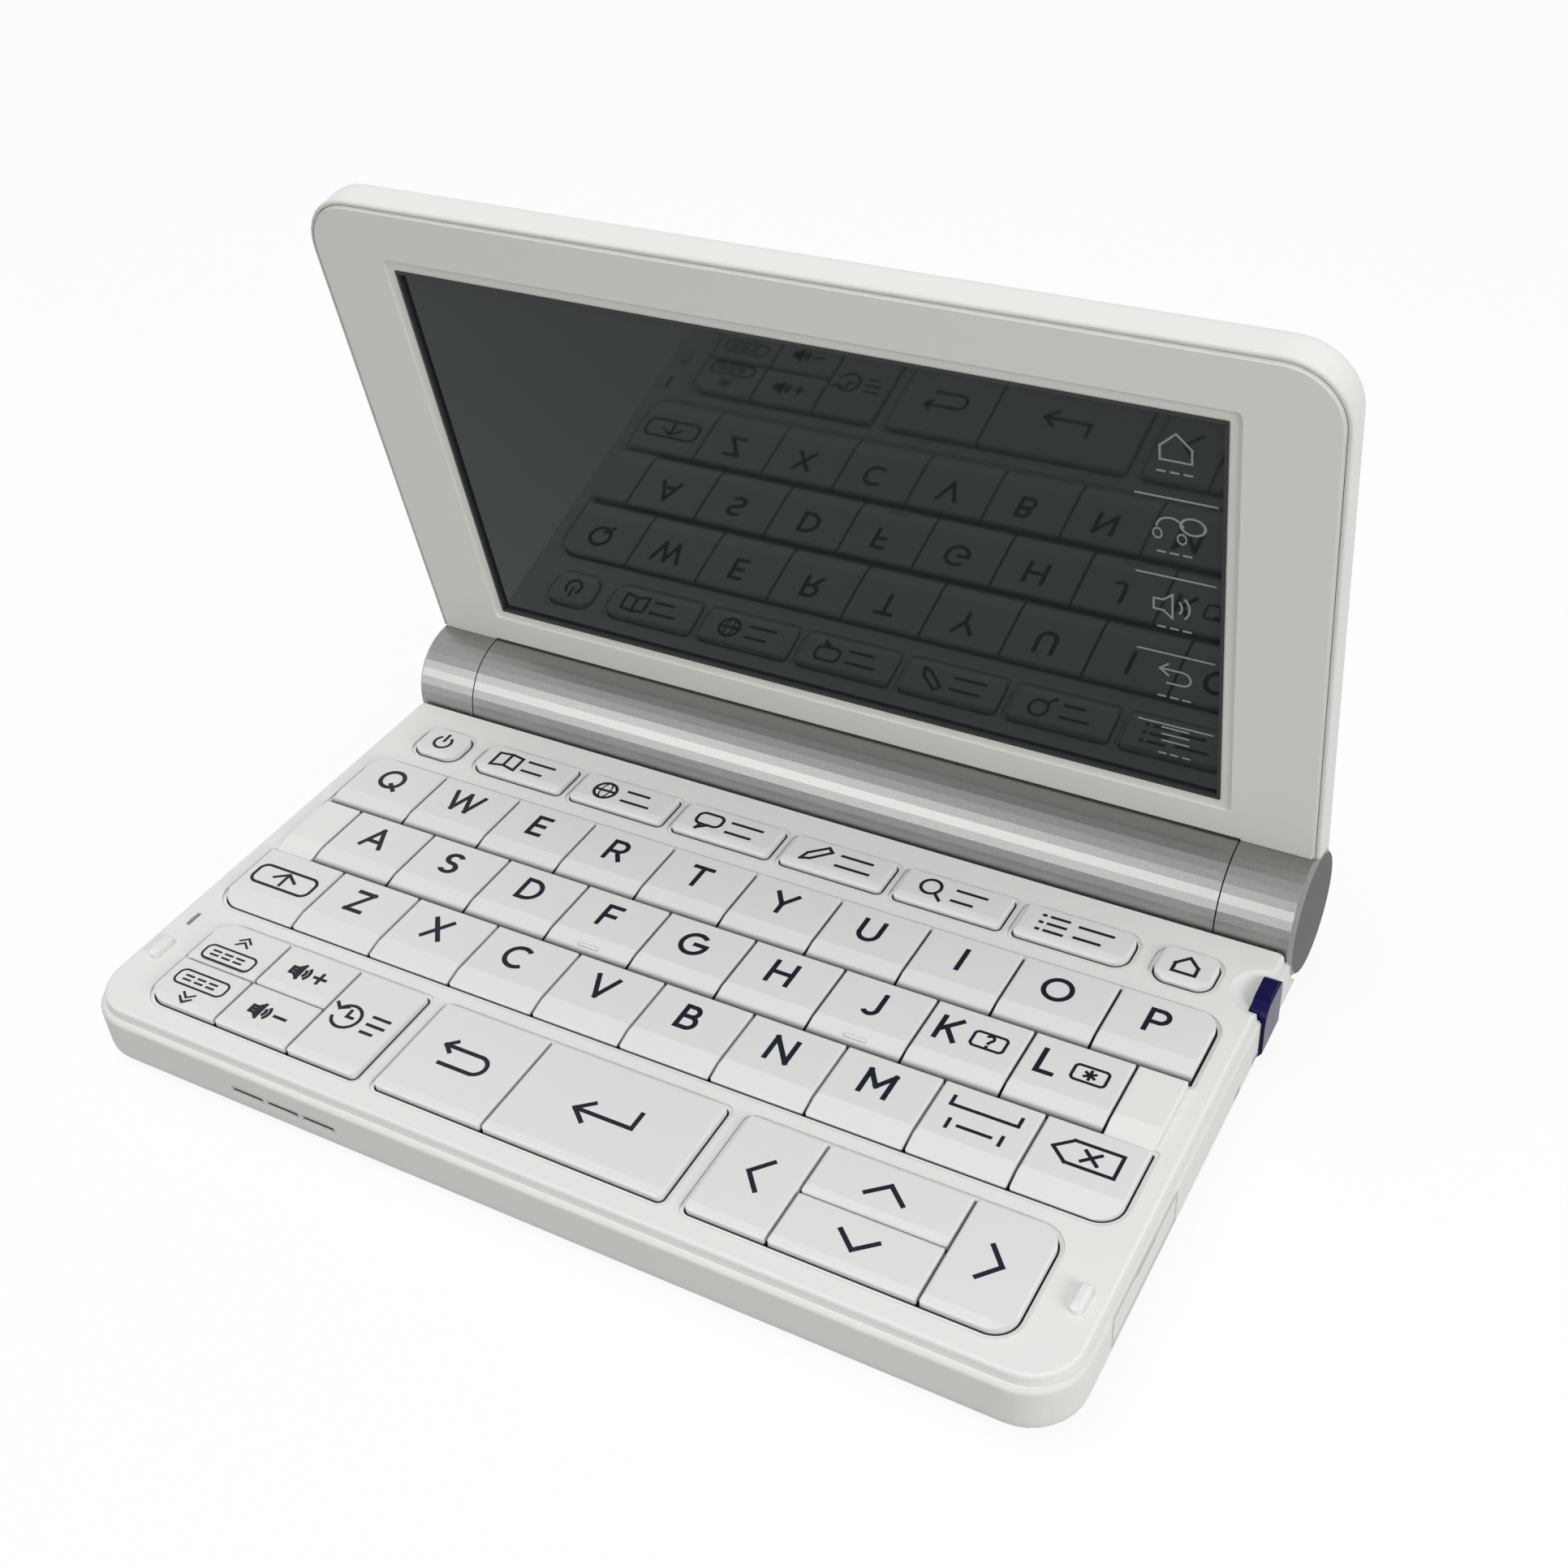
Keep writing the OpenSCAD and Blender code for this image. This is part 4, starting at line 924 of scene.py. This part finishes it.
# %% Screws
SCREW_RADIUS = 1.0
SCREW_FACE = 1.1
SCREW_DEPTH = 0.5
SCREW_RIM = 0.12
CROSS_ARM = 0.62
CROSS_HALF = 0.13
CROSS_DEPTH = 0.3
SCREW_SPOTS = [(-66.6, -46.4), (66.6, -46.4), (-65.86, 27.3), (65.86, 27.3), (0.0, 27.3)]
work = bmesh.new()
for x, y in SCREW_SPOTS:
    one = bmesh.new()
    round_bar(one, SCREW_RADIUS, SCREW_FACE, SCREW_FACE + SCREW_DEPTH, 0, 0, SCREW_RIM, 24)
    for axis in (Vector((1, 0, 0)), Vector((0, 1, 0))):
        for offset in (-CROSS_ARM, -CROSS_HALF, CROSS_HALF, CROSS_ARM):
            bmesh.ops.bisect_plane(one, geom=one.verts[:] + one.edges[:] + one.faces[:],
                                   plane_co=axis * offset, plane_no=axis, dist=1e-5)
    cross = []
    for face in one.faces:
        middle = face.calc_center_median()
        flat = abs(face.normal.z) > 0.9
        near = sorted((abs(middle.x), abs(middle.y)))
        if flat and middle.z < SCREW_FACE + 0.1 and near[0] < CROSS_HALF and near[1] < CROSS_ARM:
            cross.append(face)
    pushed = bmesh.ops.extrude_face_region(one, geom=cross)["geom"]
    inner = [item for item in pushed if isinstance(item, bmesh.types.BMVert)]
    bmesh.ops.delete(one, geom=cross, context="FACES")
    bmesh.ops.translate(one, verts=inner, vec=(0, 0, CROSS_DEPTH))
    bmesh.ops.translate(one, verts=one.verts[:], vec=(x, y, 0))
    bmesh.ops.scale(one, vec=(MM, MM, MM), verts=one.verts[:])
    single = bpy.data.meshes.new("single")
    one.to_mesh(single)
    one.free()
    work.from_mesh(single)
    bpy.data.meshes.remove(single)
finish_piece("case_screws", work, steel, "base")

# %% [markdown]
# A small window in the deck lets a charge lamp shine through. It is a clear rod with a domed
# end, so a stretched ball sunk into the slot is enough.

# %% Lamp window
WINDOW_RADII = Vector((0.33, 1.28, 0.5))
WINDOW_PLACE = Vector((-70.45, -28.65, 9.55))
work = bmesh.new()
bmesh.ops.create_uvsphere(work, u_segments=24, v_segments=12, radius=1.0)
bmesh.ops.scale(work, vec=WINDOW_RADII * MM, verts=work.verts[:])
bmesh.ops.translate(work, verts=work.verts[:], vec=WINDOW_PLACE * MM)
finish_piece("lamp_window", work, pale_ink, "base", smooth=True)

# %% [markdown]
# Two coil springs press the cells together, one at each end of the chamber. A coil is a small
# circle spun round the barrel's axis while it climbs, which the spin operator does by itself
# when it is given a step along the axis.

# %% Cell springs
cells_low, cells_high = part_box("aa_cells")
WIRE_RADIUS = 0.28
COIL_RADIUS = 3.2
COIL_TURNS = 3.5
TURN_STEPS = 28
CHAMBER_END = 53.0
work = bmesh.new()
for side in (-1, 1):
    reach = cells_low.x if side < 0 else cells_high.x
    length = CHAMBER_END * MM - abs(reach)
    start = Vector((side * (abs(reach) + WIRE_RADIUS * MM), HINGE_Y * MM, HINGE_Z * MM))
    climb = side * (length - 2 * WIRE_RADIUS * MM)
    top = start + Vector((0, 0, COIL_RADIUS * MM))
    upright = Matrix.Translation(top) @ Matrix.Rotation(math.radians(90), 4, "X")
    ring = bmesh.ops.create_circle(work, segments=10, radius=WIRE_RADIUS * MM, matrix=upright)
    loop = [edge for edge in work.edges if all(vert in ring["verts"] for vert in edge.verts)]
    steps = round(COIL_TURNS * TURN_STEPS)
    bmesh.ops.spin(work, geom=ring["verts"] + loop, cent=start, axis=(1, 0, 0),
                   dvec=(climb / steps, 0, 0), angle=math.radians(360 * COIL_TURNS), steps=steps,
                   use_merge=False, use_normal_flip=False, use_duplicate=False)
bmesh.ops.holes_fill(work, edges=[edge for edge in work.edges if edge.is_boundary], sides=12)
finish_piece("cell_springs", work, nickel, "base", smooth=True)

# %% [markdown]
# The table is one plain pale sheet. It should look white to the camera and still hold the
# object's shadow, without throwing so much light back up that the undersides glow. So it has
# a middling tone for light that bounces, and camera and mirror rays see it nearly white.

# %% Floor
def pale_floor(name, bounce, seen, glow):
    finish = Finish(name, Roughness=0.9)
    direct = finish.looked_at()
    tone = finish.mix(direct, (bounce, bounce, bounce, 1), (seen, seen, seen, 1))
    finish.feed("Base Color", tone)
    white = finish.node("ShaderNodeEmission", None, {"Color": (1, 1, 1, 1), "Strength": 1.0})
    shaded = Value(finish, finish.shader.outputs[0])
    blend = finish.node("ShaderNodeMixShader", None, {0: direct * glow, 1: shaded, 2: white})
    output = finish.tree.nodes["Material Output"]
    finish.tree.links.new(blend.socket, output.inputs["Surface"])
    return finish.material


FLOOR_HALF = 3.0
FLOOR_DROP = 0.04
work = bmesh.new()
bmesh.ops.create_grid(work, x_segments=1, y_segments=1, size=FLOOR_HALF)
bmesh.ops.translate(work, verts=work.verts[:], vec=(0, 0, -FLOOR_DROP * MM))
floor_mesh = bpy.data.meshes.new("floor")
work.to_mesh(floor_mesh)
work.free()
floor_mesh.materials.append(pale_floor("pale_floor", 0.36, 0.98, 0.9))
floor = bpy.data.objects.new("floor", floor_mesh)
scene.collection.objects.link(floor)
print("floor", [round(side, 2) for side in floor.dimensions])

# %% [markdown]
# Three soft lamps and a pale sky light the object. The large lamp overhead makes the deck the
# brightest face, and one on the right keeps the right-hand edges pale. The third is long and
# stands low in front. It lights nothing and only shows in mirrors, where the silver barrel
# turns it into a bright band. The sky is dim for light, and white for the camera and mirrors.

# %% Lamps and sky
LAMP_AIM = Vector((0, 0, 0.03))


def lamp(name, place, size, power, lights=True, mirrored=False):
    data = bpy.data.lights.new(name, "AREA")
    data.shape = "RECTANGLE"
    data.size = size[0]
    data.size_y = size[1]
    data.energy = power
    made = bpy.data.objects.new(name, data)
    made.location = place
    made.rotation_euler = (LAMP_AIM - Vector(place)).to_track_quat("-Z", "Y").to_euler()
    made.visible_diffuse = lights
    made.visible_glossy = mirrored
    scene.collection.objects.link(made)


lamp("overhead", (-0.16, -0.10, 0.72), (0.6, 0.6), 2.6)
lamp("right", (0.60, -0.22, 0.26), (0.3, 0.3), 1.9)
lamp("band", (-0.19, -0.42, 0.21), (0.48, 0.24), 1.1, lights=False, mirrored=True)

SKY_LIGHT = 0.44
world = bpy.data.worlds.new("pale_sky")
scene.world = world
world.use_nodes = True
background = world.node_tree.nodes["Background"]
background.inputs["Color"].default_value = (1, 1, 1, 1)
sky = Graph(world.node_tree)
brightness = SKY_LIGHT + (1 - SKY_LIGHT) * sky.looked_at()
sky.tree.links.new(brightness.socket, background.inputs["Strength"])
scene.view_settings.view_transform = "Standard"
print("sky light", SKY_LIGHT)
